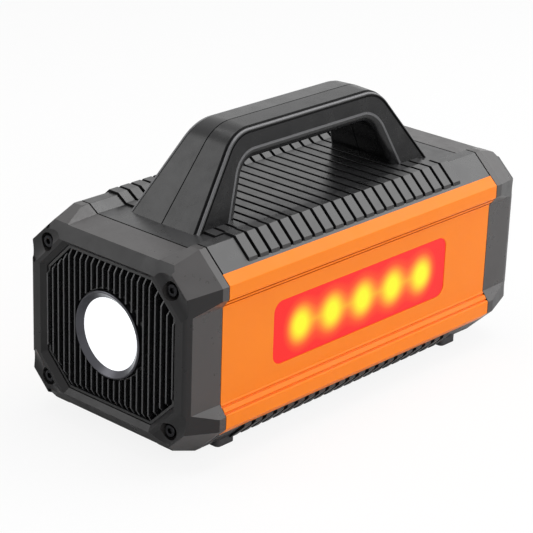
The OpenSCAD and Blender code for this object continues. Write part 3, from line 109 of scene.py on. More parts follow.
# Glow of the warning lamp and of the torch
LED_COUNT, LED_PITCH = 5, 21.2
GLOW_REACH = 14.0  # where the glow of one light has turned red
GLOW_ALONG, GLOW_UP = 1.08, 0.95  # distances grow faster along the row than upwards
HAZE_HALF_L = 1.8 * LED_PITCH  # half length of the haze that joins the lights
HAZE_LOW, HAZE_RISE = 0.53, 32.0  # its share of the way to red on the row, and its rise per metre
CORE_R, RIM_R = 11.0, 16.6  # the torch's bright core, and the rim of its lens
CORE_POWER, RIM_POWER = 1.6, 0.75

# Handle
HANDLE_Z, GRIP_TOP = extent("handle_right", Z)  # it stands on the valley's floor
FRONT_FOOT, REAR_FOOT = extent("handle_right", Y)
HANDLE_Y = (FRONT_FOOT + REAR_FOOT) / 2
OUTER_ARCH = dict(half_l=(REAR_FOOT - FRONT_FOOT) / 2, rise=GRIP_TOP - HANDLE_Z, angle=51.5, radius=19.6)
INNER_ARCH = dict(half_l=54.3, rise=24.2, angle=66.0, radius=10.3)
OUTER_SET = 1.2  # how far the outer line sits back at the grip
LEG_SUNK = 1.6  # how far the legs run down between the ribs
FOOT_HALF_W, GRIP_HALF_W = extent("handle_right", X)[1], 12.3
SIDE_LEAN = (FOOT_HALF_W - GRIP_HALF_W) / OUTER_ARCH["rise"]
FACE_D, CROWN = 0.25, 0.45  # depth of the outer face at the middle, and its fall to the sides
VEE_HALF_W, VEE_D, VEE_D_IN = 0.3, 0.9, 0.7  # groove over the seam, outside and in the finger gap
STEP_IN, STEP_D = 2.4, 1.25  # step down from the face to the bead: from the side, and its depth
STEP_EDGE_W, STEP_EDGE_D = 0.12, 0.08  # chamfer along its upper edge
STEP_GROOVE_D, STEP_DRAFT = 0.45, 0.1  # groove at its foot, and the lean of its wall
BEAD_R, BEAD_CLEAR = 0.95, 0.05  # bead along both outer edges, and its distance from that groove's floor
SIDE_GROOVE_IN, SIDE_GROOVE_W = 0.9, 0.9  # groove under the bead: how far in from the side, and its width
SIDE_EDGE_D = 0.1  # how far its two walls lean
SIDE_STEP = 0.3  # how far the side face lies behind the bead
GAP_FILLET, GAP_FALL = 3.7, 5.2  # rounding round the finger gap, across and up

# Grille
OPENING = [(42.2, -21.6), (42.2, 21.6), (26.9, 36.6), (-26.9, 36.6), (-42.2, 21.6), (-42.2, -21.6),
           (-26.9, -36.6), (26.9, -36.6)]
TRAY_GAP, TRAY_T = 2.55, 1.2  # from the opening to the tray, and the tray's rim
TRAY_BACK, TRAY_FRONT = 9.0, 18.3
FIN_COUNT, FIN_PITCH, FIN_T = 23, 3.57, 0.8
FIN_ROOT, FIN_FRONT = 11.0, 19.5  # depth of the fins' foot and of their front
FIN_SUNK = 0.5  # how far they run down into the plate behind them
FIN_END_D, FIN_END_Z = 2.0, 3.0  # slope at a fin's two ends
FIN_EDGE = 0.22  # chamfer along its front
SLEEVE_R, SLEEVE_T, SLEEVE_EDGE = 20.15, 1.4, 0.3  # round the torch's bezel
SLEEVE_BACK, SLEEVE_FRONT = 2.0, 17.5
SLEEVE_CUT = (-1.0, 30.0)  # depths between which the fins make room for it

# Socket head cap screws in the four corners of each cap
SCREW_X, SCREW_Z = 38.4, 32.4  # from the axis to a screw
SHANK_R, SHANK_L = 1.5, 6.0
HEAD_SEAT, HEAD_R, HEAD_H = 16.4, 2.85, 3.0  # depth of the head's seat, its radius and height
HEAD_EDGE = ((0.3, 0.08), (0.08, 0.25), (0.0, 0.5))  # rounded edge: down from the top, in from the side
KNURL_D, KNURL_END = 0.1, 0.45  # depth of the knurl, and its end under the top
SOCKET_AF, SOCKET_D = 2.5, 1.6  # hexagon socket across its flats, and its depth
SOCKET_TIP_D, SOCKET_TIP_R = 2.0, 0.3  # the drill's cone below it
SOCKET_EDGE_W, SOCKET_EDGE_D = 0.12, 0.15  # countersink round it

# Caps and control panel
CAP_EDGE_R, PANEL_EDGE_R = 0.28, 0.25
MERGE_DIST = 0.002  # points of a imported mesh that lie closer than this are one
FLAT_TURN, CREASE_TURN, EDGE_TURN = 0.6, 12, 24  # degrees: one plane up to the first, rounded from the last
NOSE_FROM, MOUTH_FROM = 5.0, 18.0  # depths from which a cap counts as nose, and its opening as mouth


# ---- small tools

def linear(hex_colour):
    """An sRGB hex value as the linear colour that shaders take."""
    parts = [int(hex_colour[i:i + 2], 16) / 255 for i in (1, 3, 5)]
    return [c / 12.92 if c <= 0.04045 else ((c + 0.055) / 1.055) ** 2.4 for c in parts] + [1.0]


def add(tree, kind, inputs=None, **settings):
    """Adds a node. inputs gives each socket, by name or number, a value or another socket."""
    node = tree.nodes.new(kind)
    for name, value in settings.items():
        setattr(node, name, value)
    for name, value in (inputs or {}).items():
        if isinstance(value, bpy.types.NodeSocket):
            tree.links.new(value, node.inputs[name])
        else:
            node.inputs[name].default_value = value
    return node


def new_object(name, data):
    made = bpy.data.objects.new(name, data)
    bpy.context.scene.collection.objects.link(made)
    return made


def plain_mesh(piece):
    """Turns a piece with modifiers into the mesh that they make."""
    graph = bpy.context.evaluated_depsgraph_get()
    mesh = bpy.data.meshes.new_from_object(piece.evaluated_get(graph))
    piece.modifiers.clear()
    old = piece.data
    piece.data = mesh
    bpy.data.meshes.remove(old)
    return piece


def round_edges(piece, radius, angle):
    """Rounds the edges at which two faces turn by more than an angle."""
    bevel = piece.modifiers.new("edge_radius", "BEVEL")
    bevel.width = radius * MM
    bevel.segments = 2
    bevel.limit_method = "ANGLE"
    bevel.angle_limit = math.radians(angle)
    return plain_mesh(piece)


def cut_away(piece, cutter, smooth):
    """Takes the cutter's form out of a piece, and the cutter out of the scene."""
    cut = piece.modifiers.new("cut", "BOOLEAN")
    cut.operation = "DIFFERENCE"
    cut.solver = "EXACT"
    cut.object = cutter
    plain_mesh(piece)
    bpy.data.objects.remove(cutter, do_unlink=True)
    piece.data.set_sharp_from_angle(angle=math.radians(smooth))
    return piece


def dress(piece, material, node):
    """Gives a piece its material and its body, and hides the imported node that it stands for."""
    # Large faces stay flat in the light where small rounded edges meet them
    weigh = piece.modifiers.new("flat_planes", "WEIGHTED_NORMAL")
    weigh.mode = "FACE_AREA"
    weigh.keep_sharp = True
    plain_mesh(piece)
    piece.data.materials.clear()
    piece.data.materials.append(material)
    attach(piece, "housing")
    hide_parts(node)
    return piece


def other_finish(piece, material, chosen):
    """Gives another finish to the faces for which chosen(normal, centre) is true."""
    piece.data.materials.append(material)
    for face in piece.data.polygons:
        if chosen(face.normal, face.center / MM):
            face.material_index = len(piece.data.materials) - 1


def softened(node, radius):
    """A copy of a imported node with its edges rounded, as a moulding has."""
    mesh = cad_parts[node].data.copy()
    work = bmesh.new()
    work.from_mesh(mesh)
    bmesh.ops.remove_doubles(work, verts=work.verts, dist=MERGE_DIST * MM)
    flat = math.radians(FLAT_TURN)
    bmesh.ops.dissolve_limit(work, angle_limit=flat, verts=work.verts, edges=work.edges)
    work.to_mesh(mesh)
    work.free()
    mesh.materials.clear()
    piece = round_edges(new_object(node + "_moulded", mesh), radius, EDGE_TURN)
    piece.data.shade_smooth()
    piece.data.set_sharp_from_angle(angle=math.radians(CREASE_TURN))
    return piece


# ---- materials

CLOUD_MM, SCUFF_MM = 22.0, 9.0  # size of a moulding's colour clouds and of its scuffs
ROUGH_SPREAD = 0.08  # how far scuffs make a moulding duller or glossier


def new_material(name):
    material = bpy.data.materials.new(name)
    material.use_nodes = True
    tree = material.node_tree
    tree.nodes.clear()
    place = add(tree, "ShaderNodeTexCoord").outputs["Object"]
    return material, tree, place


def moulded_plastic(name, hex_low, hex_high, roughness, grain_mm, bump, ior=1.5, gloss=0.5):
    """A moulding: an even colour that clouds a little, over the fine spark texture of its tool."""
    material, tree, place = new_material(name)
    clouds = add(tree, "ShaderNodeTexNoise", {"Vector": place, "Scale": 1 / (CLOUD_MM * MM), "Detail": 3.0})
    colour = add(tree, "ShaderNodeMix", {
        "Factor": clouds.outputs["Fac"], "A": linear(hex_low), "B": linear(hex_high)}, data_type="RGBA")
    # The tool's grain, drawn a little coarser than it is so that it shows
    grain = add(tree, "ShaderNodeTexNoise", {
        "Vector": place, "Scale": 1 / (grain_mm * MM), "Detail": 2.0, "Roughness": 0.6})
    scuffs = add(tree, "ShaderNodeTexNoise", {
        "Vector": place, "Scale": 1 / (SCUFF_MM * MM), "Detail": 6.0, "Roughness": 0.65})
    rough = add(tree, "ShaderNodeMapRange", {
        "Value": scuffs.outputs["Fac"], "From Min": 0.3, "From Max": 0.7,
        "To Min": roughness - ROUGH_SPREAD, "To Max": roughness + ROUGH_SPREAD})
    relief = add(tree, "ShaderNodeBump", {
        "Height": grain.outputs["Fac"], "Strength": bump, "Distance": 0.05 * MM})
    shader = add(tree, "ShaderNodeBsdfPrincipled", {
        "Base Color": colour.outputs["Result"], "Roughness": rough.outputs["Result"], "IOR": ior,
        "Specular IOR Level": gloss, "Normal": relief.outputs["Normal"]})
    add(tree, "ShaderNodeOutputMaterial", {"Surface": shader.outputs[0]})
    return material


def metal(name, hex_colour, roughness, streak_mm, bump):
    """Metal with fine turning or drawing marks, which dull it in streaks."""
    material, tree, place = new_material(name)
    streaks = add(tree, "ShaderNodeTexNoise", {"Vector": place, "Scale": 1 / (streak_mm * MM), "Detail": 4.0})
    rough = add(tree, "ShaderNodeMapRange", {
        "Value": streaks.outputs["Fac"], "To Min": roughness - 0.08, "To Max": roughness + 0.1})
    relief = add(tree, "ShaderNodeBump", {
        "Height": streaks.outputs["Fac"], "Strength": bump, "Distance": 0.02 * MM})
    shader = add(tree, "ShaderNodeBsdfPrincipled", {
        "Base Color": linear(hex_colour), "Metallic": 1.0, "Roughness": rough.outputs["Result"],
        "Normal": relief.outputs["Normal"]})
    add(tree, "ShaderNodeOutputMaterial", {"Surface": shader.outputs[0]})
    return material


# Spark textured ABS of the shells: near black, with a silky shine that outlines each rib
shell_black = moulded_plastic("spark_textured_abs_black", "#1d1d1e", "#232324", 0.3, 0.5, 0.25, ior=1.55)
# The caps' ABS: a warm grey painted lighter than the shells' same ABS, a painted sheen that shows the form of
# their broad planes
cap_painted_sheen = moulded_plastic("spark_textured_abs_black_cap_painted_sheen", "#3b3939", "#413f3f", 0.32, 0.5, 0.25, ior=1.45)
# Painted shade: the same ABS painted darker on the nose round each opening, its bevel, the bands beside the
# recesses and the rear cap's back
nose_painted_shade = moulded_plastic(
    "satin_abs_black_nose_painted_shade", "#171617", "#1c1b1c", 0.34, 0.5, 0.2, ior=1.42, gloss=0.4)
# Painted highlight: a lighter grey on the part of the handle's bead that faces the light, and on the finger
# gap's edge, draws a bright line along them
bead_painted_highlight = moulded_plastic("abs_bead_painted_highlight", "#5a5a5c", "#626264", 0.22, 0.4, 0.05)
# Painted shade: grooves, seams and the walls between ribs get a matte near black, so that they read as shaded
# dark lines
groove_painted_shade = moulded_plastic("matte_abs_black_painted_shade", "#101011", "#151516", 0.6, 0.5, 0.2, gloss=0.15)
# The handle's ABS: deep black with a low satin shine that hands have kept smooth
handle_black = moulded_plastic("satin_abs_black", "#161617", "#1b1b1c", 0.24, 0.4, 0.12, ior=1.39)
# Polished ABS of inserts and panels: even black with a soft mirror of the lights
insert_black = moulded_plastic("gloss_abs_black", "#161617", "#1b1b1c", 0.3, 0.4, 0.1)
grille_black = moulded_plastic("gloss_abs_black_grille", "#1c1c1d", "#222223", 0.28, 0.4, 0.1)
# Painted highlight: the fins' front faces are painted a lighter grey, so that they stand out as fine bright
# upright lines
fin_edge_painted_highlight = moulded_plastic("gloss_abs_fin_edge_painted_highlight", "#4a4a4c", "#525254", 0.3, 0.4, 0.1)
# Orange ABS with fine texture: a full colour with a broad, weak shine
panel_orange = moulded_plastic("satin_abs_orange", "#f9800e", "#fc8814", 0.36, 0.5, 0.08, ior=1.4, gloss=0.3)
# Painted shade: the same ABS painted darker and redder in the fine grooves of the upper slopes
orange_painted_shade = moulded_plastic(
    "abs_orange_groove_painted_shade", "#b03a00", "#b84002", 0.6, 0.5, 0.1, gloss=0.05)
# Thermoplastic rubber: dull dark grey feet
foot_grey = moulded_plastic("thermoplastic_rubber_feet", "#3c3c3e", "#444446", 0.55, 0.3, 0.3)
# Nitrile rubber: black without shine, a little rough, on covers, seals and pads
rubber_black = moulded_plastic("nitrile_rubber_black", "#222223", "#29292a", 0.7, 0.3, 0.3)
# Satin ABS of the buttons: plain signal colours with a soft shine
button_orange = moulded_plastic("satin_abs_button_orange", "#e2762a", "#ea7f33", 0.4, 0.4, 0.15)
button_grey = moulded_plastic("satin_abs_button_grey", "#4c4c4f", "#545457", 0.4, 0.4, 0.15)
button_red = moulded_plastic("satin_abs_button_red", "#b52b24", "#bf332b", 0.4, 0.4, 0.15)
# White ABS: an even, dull white that throws the lamps' light forwards
white_abs = moulded_plastic("white_abs", "#e6e6e2", "#eeeeea", 0.5, 0.5, 0.1)
# Glass filled nylon: a strong blue with a dry shine
socket_blue = moulded_plastic("nylon_blue", "#2455a4", "#2b5fb2", 0.45, 0.4, 0.15)
# Solder mask: glossy dark green over the faint relief of the copper tracks
circuit_green = moulded_plastic("solder_mask_green", "#1b5636", "#22623f", 0.3, 1.5, 0.1)
# Unpolished ABS of inner trays: plain mid grey
tray_grey = moulded_plastic("tray_abs_grey", "#47494c", "#505255", 0.5, 0.5, 0.2)
# Black oxide on steel: dark grey metal with an oily shine
black_oxide = metal("black_oxide_steel", "#2a2a2c", 0.38, 1.2, 0.3)
# Zinc plate: pale, slightly blue metal with a soft shine
zinc_plate = metal("zinc_plated_steel", "#b9bbbf", 0.32, 1.0, 0.3)
# Nickel plate: bright and a little warm, on socket shells and the reflector
nickel_plate = metal("nickel_plated_steel", "#c4c4c2", 0.25, 0.8, 0.2)
# Gold plate on brass: smooth and warm yellow
gold_plate = metal("gold_plated_brass", "#d9ab53", 0.22, 0.8, 0.2)
# Extruded aluminium: pale grey with streaks from the die
bare_aluminium = metal("extruded_aluminium", "#bfc1c4", 0.35, 1.5, 0.3)
# Laminated foil of a pouch cell: matte silver with shallow dents
pouch_foil = metal("laminated_pouch_foil", "#a9adb2", 0.4, 3.0, 0.4)
# Anodised aluminium, turned: a dark ring with a bright edge of light
bezel_grey = metal("satin_anodised_bezel", "#4c4c50", 0.3, 0.6, 0.2)


def lit_lamp():
    """Red polycarbonate over five amber lights: each glows yellow and spreads to red."""
    material, tree, place = new_material("lit_red_polycarbonate")
    parts = add(tree, "ShaderNodeSeparateXYZ", {0: place})
    along = parts.outputs["Y"]
    # Where the nearest light of the row stands
    last = (LED_COUNT - 1) / 2
    light_y = along
    pitch = LED_PITCH * MM
    for operation, value in (("DIVIDE", pitch), ("ROUND", 0.0), ("MAXIMUM", -last), ("MINIMUM", last),
                             ("MULTIPLY", pitch)):
        light_y = add(tree, "ShaderNodeMath", {0: light_y, 1: value}, operation=operation).outputs[0]
    beside = add(tree, "ShaderNodeMath", {0: along, 1: light_y}, operation="SUBTRACT")
    height = add(tree, "ShaderNodeMath", {0: parts.outputs["Z"], 1: AXIS_Z * MM}, operation="SUBTRACT")
    off_y = add(tree, "ShaderNodeMath", {0: beside.outputs[0], 1: GLOW_ALONG}, operation="MULTIPLY")
    off_z = add(tree, "ShaderNodeMath", {0: height.outputs[0], 1: GLOW_UP}, operation="MULTIPLY")
    offset = add(tree, "ShaderNodeCombineXYZ", {"Y": off_y.outputs[0], "Z": off_z.outputs[0]})
    away = add(tree, "ShaderNodeVectorMath", {0: offset.outputs[0]}, operation="LENGTH")
    spot = add(tree, "ShaderNodeMath", {0: away.outputs["Value"], 1: GLOW_REACH * MM}, operation="DIVIDE")
    # The haze that joins the lights along the row
    in_row = along
    for operation, value in (("MAXIMUM", -HAZE_HALF_L * MM), ("MINIMUM", HAZE_HALF_L * MM)):
        in_row = add(tree, "ShaderNodeMath", {0: in_row, 1: value}, operation=operation).outputs[0]
    past_end = add(tree, "ShaderNodeMath", {0: along, 1: in_row}, operation="SUBTRACT")
    beyond = add(tree, "ShaderNodeCombineXYZ", {"Y": past_end.outputs[0], "Z": height.outputs[0]})
    reach = add(tree, "ShaderNodeVectorMath", {0: beyond.outputs[0]}, operation="LENGTH")
    haze = add(tree, "ShaderNodeMath", {
        0: reach.outputs["Value"], 1: HAZE_RISE, 2: HAZE_LOW}, operation="MULTIPLY_ADD")
    share = add(tree, "ShaderNodeMath", {0: spot.outputs[0], 1: haze.outputs[0]}, operation="SMOOTH_MIN")
    glow = add(tree, "ShaderNodeValToRGB", {"Fac": share.outputs[0]})
    stops = glow.color_ramp.elements
    stops.remove(stops[-1])
    stops[0].color = linear("#f8f818")
    for at, colour in ((0.26, "#f8f416"), (0.38, "#f8d814"), (0.5, "#f8ac14"), (0.6, "#f87c10"),
                       (0.72, "#f84408"), (0.88, "#f80a06")):
        stops.new(at).color = linear(colour)
    shader = add(tree, "ShaderNodeBsdfPrincipled", {
        "Base Color": linear("#100202"), "Roughness": 0.22, "Specular IOR Level": 0.3, "IOR": 1.5,
        "Emission Color": glow.outputs["Color"], "Emission Strength": 1.0})
    add(tree, "ShaderNodeOutputMaterial", {"Surface": shader.outputs[0]})
    return material


def lit_torch():
    """Frosted polycarbonate in front of the torch's light: white, and brightest in its middle."""
    material, tree, place = new_material("lit_frosted_polycarbonate")
    parts = add(tree, "ShaderNodeSeparateXYZ", {0: place})
    off_z = add(tree, "ShaderNodeMath", {0: parts.outputs["Z"], 1: AXIS_Z * MM}, operation="SUBTRACT")
    offset = add(tree, "ShaderNodeCombineXYZ", {"X": parts.outputs["X"], "Z": off_z.outputs[0]})
    away = add(tree, "ShaderNodeVectorMath", {0: offset.outputs[0]}, operation="LENGTH")
    glow = add(tree, "ShaderNodeMapRange", {
        "Value": away.outputs["Value"], "From Min": CORE_R * MM, "From Max": RIM_R * MM,
        "To Min": CORE_POWER, "To Max": RIM_POWER})
    shader = add(tree, "ShaderNodeBsdfPrincipled", {
        "Base Color": linear("#e8ecee"), "Roughness": 0.3, "IOR": 1.58,
        "Emission Color": linear("#fbfdff"), "Emission Strength": glow.outputs["Result"]})
    add(tree, "ShaderNodeOutputMaterial", {"Surface": shader.outputs[0]})
    return material


lamp_red = lit_lamp()
torch_glow = lit_torch()


# ---- camera, lights, stage, in metres

LIGHTS_AIM = (0, 0, 0.06)
SOFTBOXES = (  # name, place, width and length, power
    ("top_softbox", (-0.1, 0.1, 1.1), (0.9, 0.9), 6.5),
    ("side_softbox", (1.0, 0.1, 0.45), (0.7, 0.9), 2.5),
    ("back_softbox", (0.41, 0.86, 0.87), (1.2, 1.2), 10.4),
    ("key_softbox", (-0.8, -0.67, 0.82), (0.6, 0.6), 2.4),
    ("fill_softbox", (0.85, -0.5, 0.62), (0.5, 0.5), 1.6),
)
ROOM_LIGHT = 0.12  # what the white room adds on the pack
SWEEP_GLOW = 0.88  # share of plain white in the sweep as the camera sees it
SWEEP_HALF_L = 4
FIBRE, FIBRE_D = 0.0025, 0.0001  # size and depth of the paper's fibres


def place_camera():
    """A long lens before the front right corner, looking down at the pack."""
    data = bpy.data.cameras.new("camera")
    data.sensor_fit = "HORIZONTAL"
    data.sensor_width = 36.0
    data.lens = 136.99
    data.clip_start = 0.05
    data.clip_end = 30.0
    camera = new_object("camera", data)
    right = (0.7342342, 0.6781438, 0.0319537)
    up = (-0.2745094, 0.2535083, 0.9275657)
    back = (0.6209224, -0.6898221, 0.3722913)
    eye = (0.58647, -0.66313, 0.40691)
    camera.matrix_world = Matrix(list(zip(right, up, back, eye)) + [(0, 0, 0, 1)])
    bpy.context.scene.camera = camera


def hang_softboxes():
    for name, place, size, power in SOFTBOXES:
        data = bpy.data.lights.new(name, "AREA")
        data.shape = "RECTANGLE"
        data.size, data.size_y = size
        data.energy = power
        lamp = new_object(name, data)
        turned = (Vector(place) - Vector(LIGHTS_AIM)).to_track_quat("Z", "Y").to_matrix().to_4x4()
        lamp.matrix_world = Matrix.Translation(place) @ turned


def whiten_the_room():
    """A world that looks white and shows white in gloss and glass, but lights the pack little."""
    world = bpy.data.worlds.new("studio")
    bpy.context.scene.world = world
    world.use_nodes = True
    tree = world.node_tree
    tree.nodes.clear()
    path = add(tree, "ShaderNodeLightPath")
    shown = path.outputs["Is Camera Ray"]
    for ray in ("Is Glossy Ray", "Is Transmission Ray"):
        shown = add(tree, "ShaderNodeMath", {0: shown, 1: path.outputs[ray]}, operation="MAXIMUM").outputs[0]
    around = add(tree, "ShaderNodeBackground", {"Color": linear("#ffffff"), "Strength": ROOM_LIGHT})
    white = add(tree, "ShaderNodeBackground", {"Color": linear("#ffffff"), "Strength": 1.0})
    mixed = add(tree, "ShaderNodeMixShader", {0: shown, 1: around.outputs[0], 2: white.outputs[0]})
    add(tree, "ShaderNodeOutputWorld", {"Surface": mixed.outputs[0]})


def lay_the_floor():
    """A white paper sweep that keeps a faint shadow under the pack."""
    mesh = bpy.data.meshes.new("floor")
    corners = [(x * SWEEP_HALF_L, y * SWEEP_HALF_L, 0) for x, y in CORNERS]
    mesh.from_pydata(corners, [], [(0, 1, 2, 3)])
    floor = new_object("floor", mesh)
    material, tree, place = new_material("white_paper_sweep")
    fibres = add(tree, "ShaderNodeTexNoise", {"Vector": place, "Scale": 1 / FIBRE, "Detail": 4.0})
    relief = add(tree, "ShaderNodeBump", {
        "Height": fibres.outputs["Fac"], "Strength": 0.05, "Distance": FIBRE_D})
    paper = add(tree, "ShaderNodeBsdfDiffuse", {
        "Color": linear("#f4f4f4"), "Normal": relief.outputs["Normal"]})
    glow = add(tree, "ShaderNodeEmission", {"Color": linear("#ffffff"), "Strength": 1.0})
    seen = add(tree, "ShaderNodeLightPath").outputs["Is Camera Ray"]
    share = add(tree, "ShaderNodeMath", {0: seen, 1: SWEEP_GLOW}, operation="MULTIPLY")
    mixed = add(tree, "ShaderNodeMixShader", {0: share.outputs[0], 1: paper.outputs[0], 2: glow.outputs[0]})
    add(tree, "ShaderNodeOutputMaterial", {"Surface": mixed.outputs[0]})
    mesh.materials.append(material)


place_camera()
hang_softboxes()
whiten_the_room()
lay_the_floor()


# ---- mesh makers

def lofted(name, rings, all_round=False, smooth=30.0):
    """A new piece: a closed solid through rings of points in millimetres.

    The first and the last ring are its ends, or they meet when it goes all round.
    Edges that turn by more than the smooth angle stay sharp.
    """
    count = len(rings[0])
    points = [Vector(p) * MM for ring in rings for p in ring]
    faces = []
    for k in range(len(rings) if all_round else len(rings) - 1):
        a, b = k * count, (k + 1) % len(rings) * count
        for i in range(count):
            j = (i + 1) % count
            faces.append((a + i, a + j, b + j, b + i))
    if not all_round:
        faces.append(tuple(range(count)))
        faces.append(tuple(reversed(range((len(rings) - 1) * count, len(rings) * count))))
    mesh = bpy.data.meshes.new(name)
    mesh.from_pydata(points, [], faces)
    work = bmesh.new()
    work.from_mesh(mesh)
    bmesh.ops.remove_doubles(work, verts=work.verts, dist=1e-7)
    bmesh.ops.recalc_face_normals(work, faces=work.faces)
    work.to_mesh(mesh)
    work.free()
    mesh.shade_smooth()
    mesh.set_sharp_from_angle(angle=math.radians(smooth))
    return new_object(name, mesh)


def turned_rings(outline, steps):
    """Rings of a part turned round the torch's axis: outline holds (radius, depth) in the front cap."""
    rings = []
    for k in range(steps):
        turn = 2 * math.pi * k / steps
        rings.append([(r * math.cos(turn), -SEAM_Y - depth, AXIS_Z + r * math.sin(turn))
                      for r, depth in outline])
    return rings


def long_rings(outline, y0, y1):
    """The two rings of a bar along the pack, its outline in X and Z."""
    return [[(x, y, AXIS_Z + z) for x, z in outline] for y in (y0, y1)]


def round_corners(line, radii, steps=4, closed=False):
    """A line with each corner drawn as an arc of its own radius."""
    out = []
    count = len(line)
    for i, point in enumerate(line):
        here = Vector(point)
        before = (Vector(line[i - 1]) - here).normalized()
        after = (Vector(line[(i + 1) % count]) - here).normalized()
        half = math.acos(max(-1.0, min(1.0, before.dot(after)))) / 2
        at_end = not closed and i in (0, count - 1)
        straight = half > math.radians(89)
        if radii[i] <= 0 or at_end or straight:
            out.append(tuple(point))
            continue
        reach = radii[i] / math.tan(half)
        centre = here + (before + after).normalized() * radii[i] / math.sin(half)
        start, end = here + before * reach - centre, here + after * reach - centre
        turn = start.angle_signed(end)
        for k in range(steps + 1):
            step = -turn * k / steps
            out.append((centre.x + start.x * math.cos(step) - start.y * math.sin(step),
                        centre.y + start.x * math.sin(step) + start.y * math.cos(step)))
    return out


def offset_line(line, distance):
    """An open line moved to its left by a distance, with mitred corners."""
    normals = []
    for a, b in zip(line, line[1:]):
        along = Vector(b) - Vector(a)
        normals.append(Vector((-along.y, along.x)).normalized())
    out = []
    for i, (x, z) in enumerate(line):
        before, after = normals[max(i - 1, 0)], normals[min(i, len(normals) - 1)]
        move = (before + after) * distance / (1 + before.dot(after))
        out.append((x + move.x, z + move.y))
    return out


# ---- patterns by Geometry Nodes

def start_pattern(name, sizes):
    """A tree that repeats a piece. sizes names its inputs, each with its kind of socket."""
    tree = bpy.data.node_groups.new(name, "GeometryNodeTree")
    for label, kind in [("Piece", "Geometry")] + list(sizes.items()) + [("Material", "Material")]:
        tree.interface.new_socket(label, in_out="INPUT", socket_type="NodeSocket" + kind)
    tree.interface.new_socket("Pattern", in_out="OUTPUT", socket_type="NodeSocketGeometry")
    return tree, add(tree, "NodeGroupInput").outputs


def end_pattern(tree, given, instances):
    """Makes the instances real and gives them their material."""
    real = add(tree, "GeometryNodeRealizeInstances", {"Geometry": instances.outputs["Instances"]})
    dressed = add(tree, "GeometryNodeSetMaterial", {
        "Geometry": real.outputs["Geometry"], "Material": given["Material"]})
    add(tree, "NodeGroupOutput", {"Pattern": dressed.outputs["Geometry"]})


def lay_pattern(piece, tree, values):
    """Runs a tree on a piece and keeps the result as its plain mesh."""
    modifier = piece.modifiers.new("pattern", "NODES")
    modifier.node_group = tree
    sockets = {item.name: item.identifier for item in tree.interface.items_tree if item.in_out == "INPUT"}
    for label, value in values.items():
        modifier[sockets[label]] = value
    return plain_mesh(piece)


# ---- handle

OUTER, INNER = 0, 1  # the arch that a point of the section hangs on
PLAIN, GROOVE_SHADE, BEAD_HIGHLIGHT = 0, 1, 2  # the handle's materials, in their order
BEAD_HIGHLIGHT_TURNS = (math.radians(-35), math.radians(50))  # the turns of the bead painted lighter, as a highlight where it faces the light
LEG_STEPS, BEND_STEPS, GRIP_STEPS = 4, 14, 3  # along half an arch
BEAD_STEPS, FILLET_STEPS = 6, 7  # for a quarter of a turn


def arch_half(half_l, rise, angle, radius):
    """Places and outward normals from a foot up to the middle of an arch's top."""
    lean = math.radians(angle)
    corner, reach = half_l - rise / math.tan(lean), radius * math.tan(lean / 2)
    foot = Vector((half_l + LEG_SUNK / math.tan(lean), -LEG_SUNK))
    bend = Vector((corner + reach * math.cos(lean), rise - reach * math.sin(lean)))
    centre = Vector((corner - reach, rise - radius))
    normal = Vector((math.sin(lean), math.cos(lean)))
    out = [(foot.lerp(bend, k / LEG_STEPS), normal) for k in range(LEG_STEPS)]
    for k in range(BEND_STEPS + 1):
        turn = math.pi / 2 - lean * (1 - k / BEND_STEPS)
        normal = Vector((math.cos(turn), math.sin(turn)))
        out.append((centre + normal * radius, normal))
    start, top = centre + Vector((0, radius)), Vector((0, rise))
    return out + [(start.lerp(top, k / GRIP_STEPS), normal) for k in range(1, GRIP_STEPS + 1)]


def section_points():
    """One half of the handle's section, from the seam on top round the side to the seam below.

    Each point has its arch, its depth in from that arch, its place across, from the middle
    or inwards from the side, and the finish of the face that starts there.
    """
    groove_d = STEP_D + STEP_GROOVE_D
    points = [
        (OUTER, VEE_D, "middle", 0.0, GROOVE_SHADE),
        (OUTER, FACE_D, "middle", VEE_HALF_W, PLAIN),
        (OUTER, FACE_D + CROWN, "side", STEP_IN + STEP_EDGE_W, PLAIN),
        (OUTER, FACE_D + STEP_EDGE_D + CROWN, "side", STEP_IN, GROOVE_SHADE),
        (OUTER, groove_d, "side", STEP_IN - STEP_DRAFT, GROOVE_SHADE),
        (OUTER, groove_d, "side", 2 * BEAD_R + BEAD_CLEAR, GROOVE_SHADE)]
    for k in range(1 - BEAD_STEPS, BEAD_STEPS + 1):
        turn = math.pi / 2 * k / BEAD_STEPS
        finish = BEAD_HIGHLIGHT if BEAD_HIGHLIGHT_TURNS[0] < turn < BEAD_HIGHLIGHT_TURNS[1] else GROOVE_SHADE if k == BEAD_STEPS else PLAIN
        points.append((OUTER, STEP_D + BEAD_R * (1 - math.cos(turn)), "side",
                       BEAD_R * (1 - math.sin(turn)), finish))
    side_d = STEP_D + BEAD_R + SIDE_EDGE_D
    points += [
        (OUTER, side_d, "side", SIDE_GROOVE_IN, GROOVE_SHADE),
        (OUTER, side_d + SIDE_GROOVE_W, "side", SIDE_GROOVE_IN, GROOVE_SHADE),
        (OUTER, side_d + SIDE_GROOVE_W + SIDE_EDGE_D, "side", SIDE_STEP, PLAIN)]
    # The first face of the finger gap's rounding gets the painted highlight as well
    for k in range(FILLET_STEPS + 1):
        turn = math.pi / 2 * k / FILLET_STEPS
        points.append((INNER, GAP_FALL * (1 - math.sin(turn)), "side",
                       SIDE_STEP + GAP_FILLET * (1 - math.cos(turn)), PLAIN if k else BEAD_HIGHLIGHT))
    points += [(INNER, 0.0, "middle", VEE_HALF_W, GROOVE_SHADE), (INNER, VEE_D_IN, "middle", 0.0, PLAIN)]
    return points


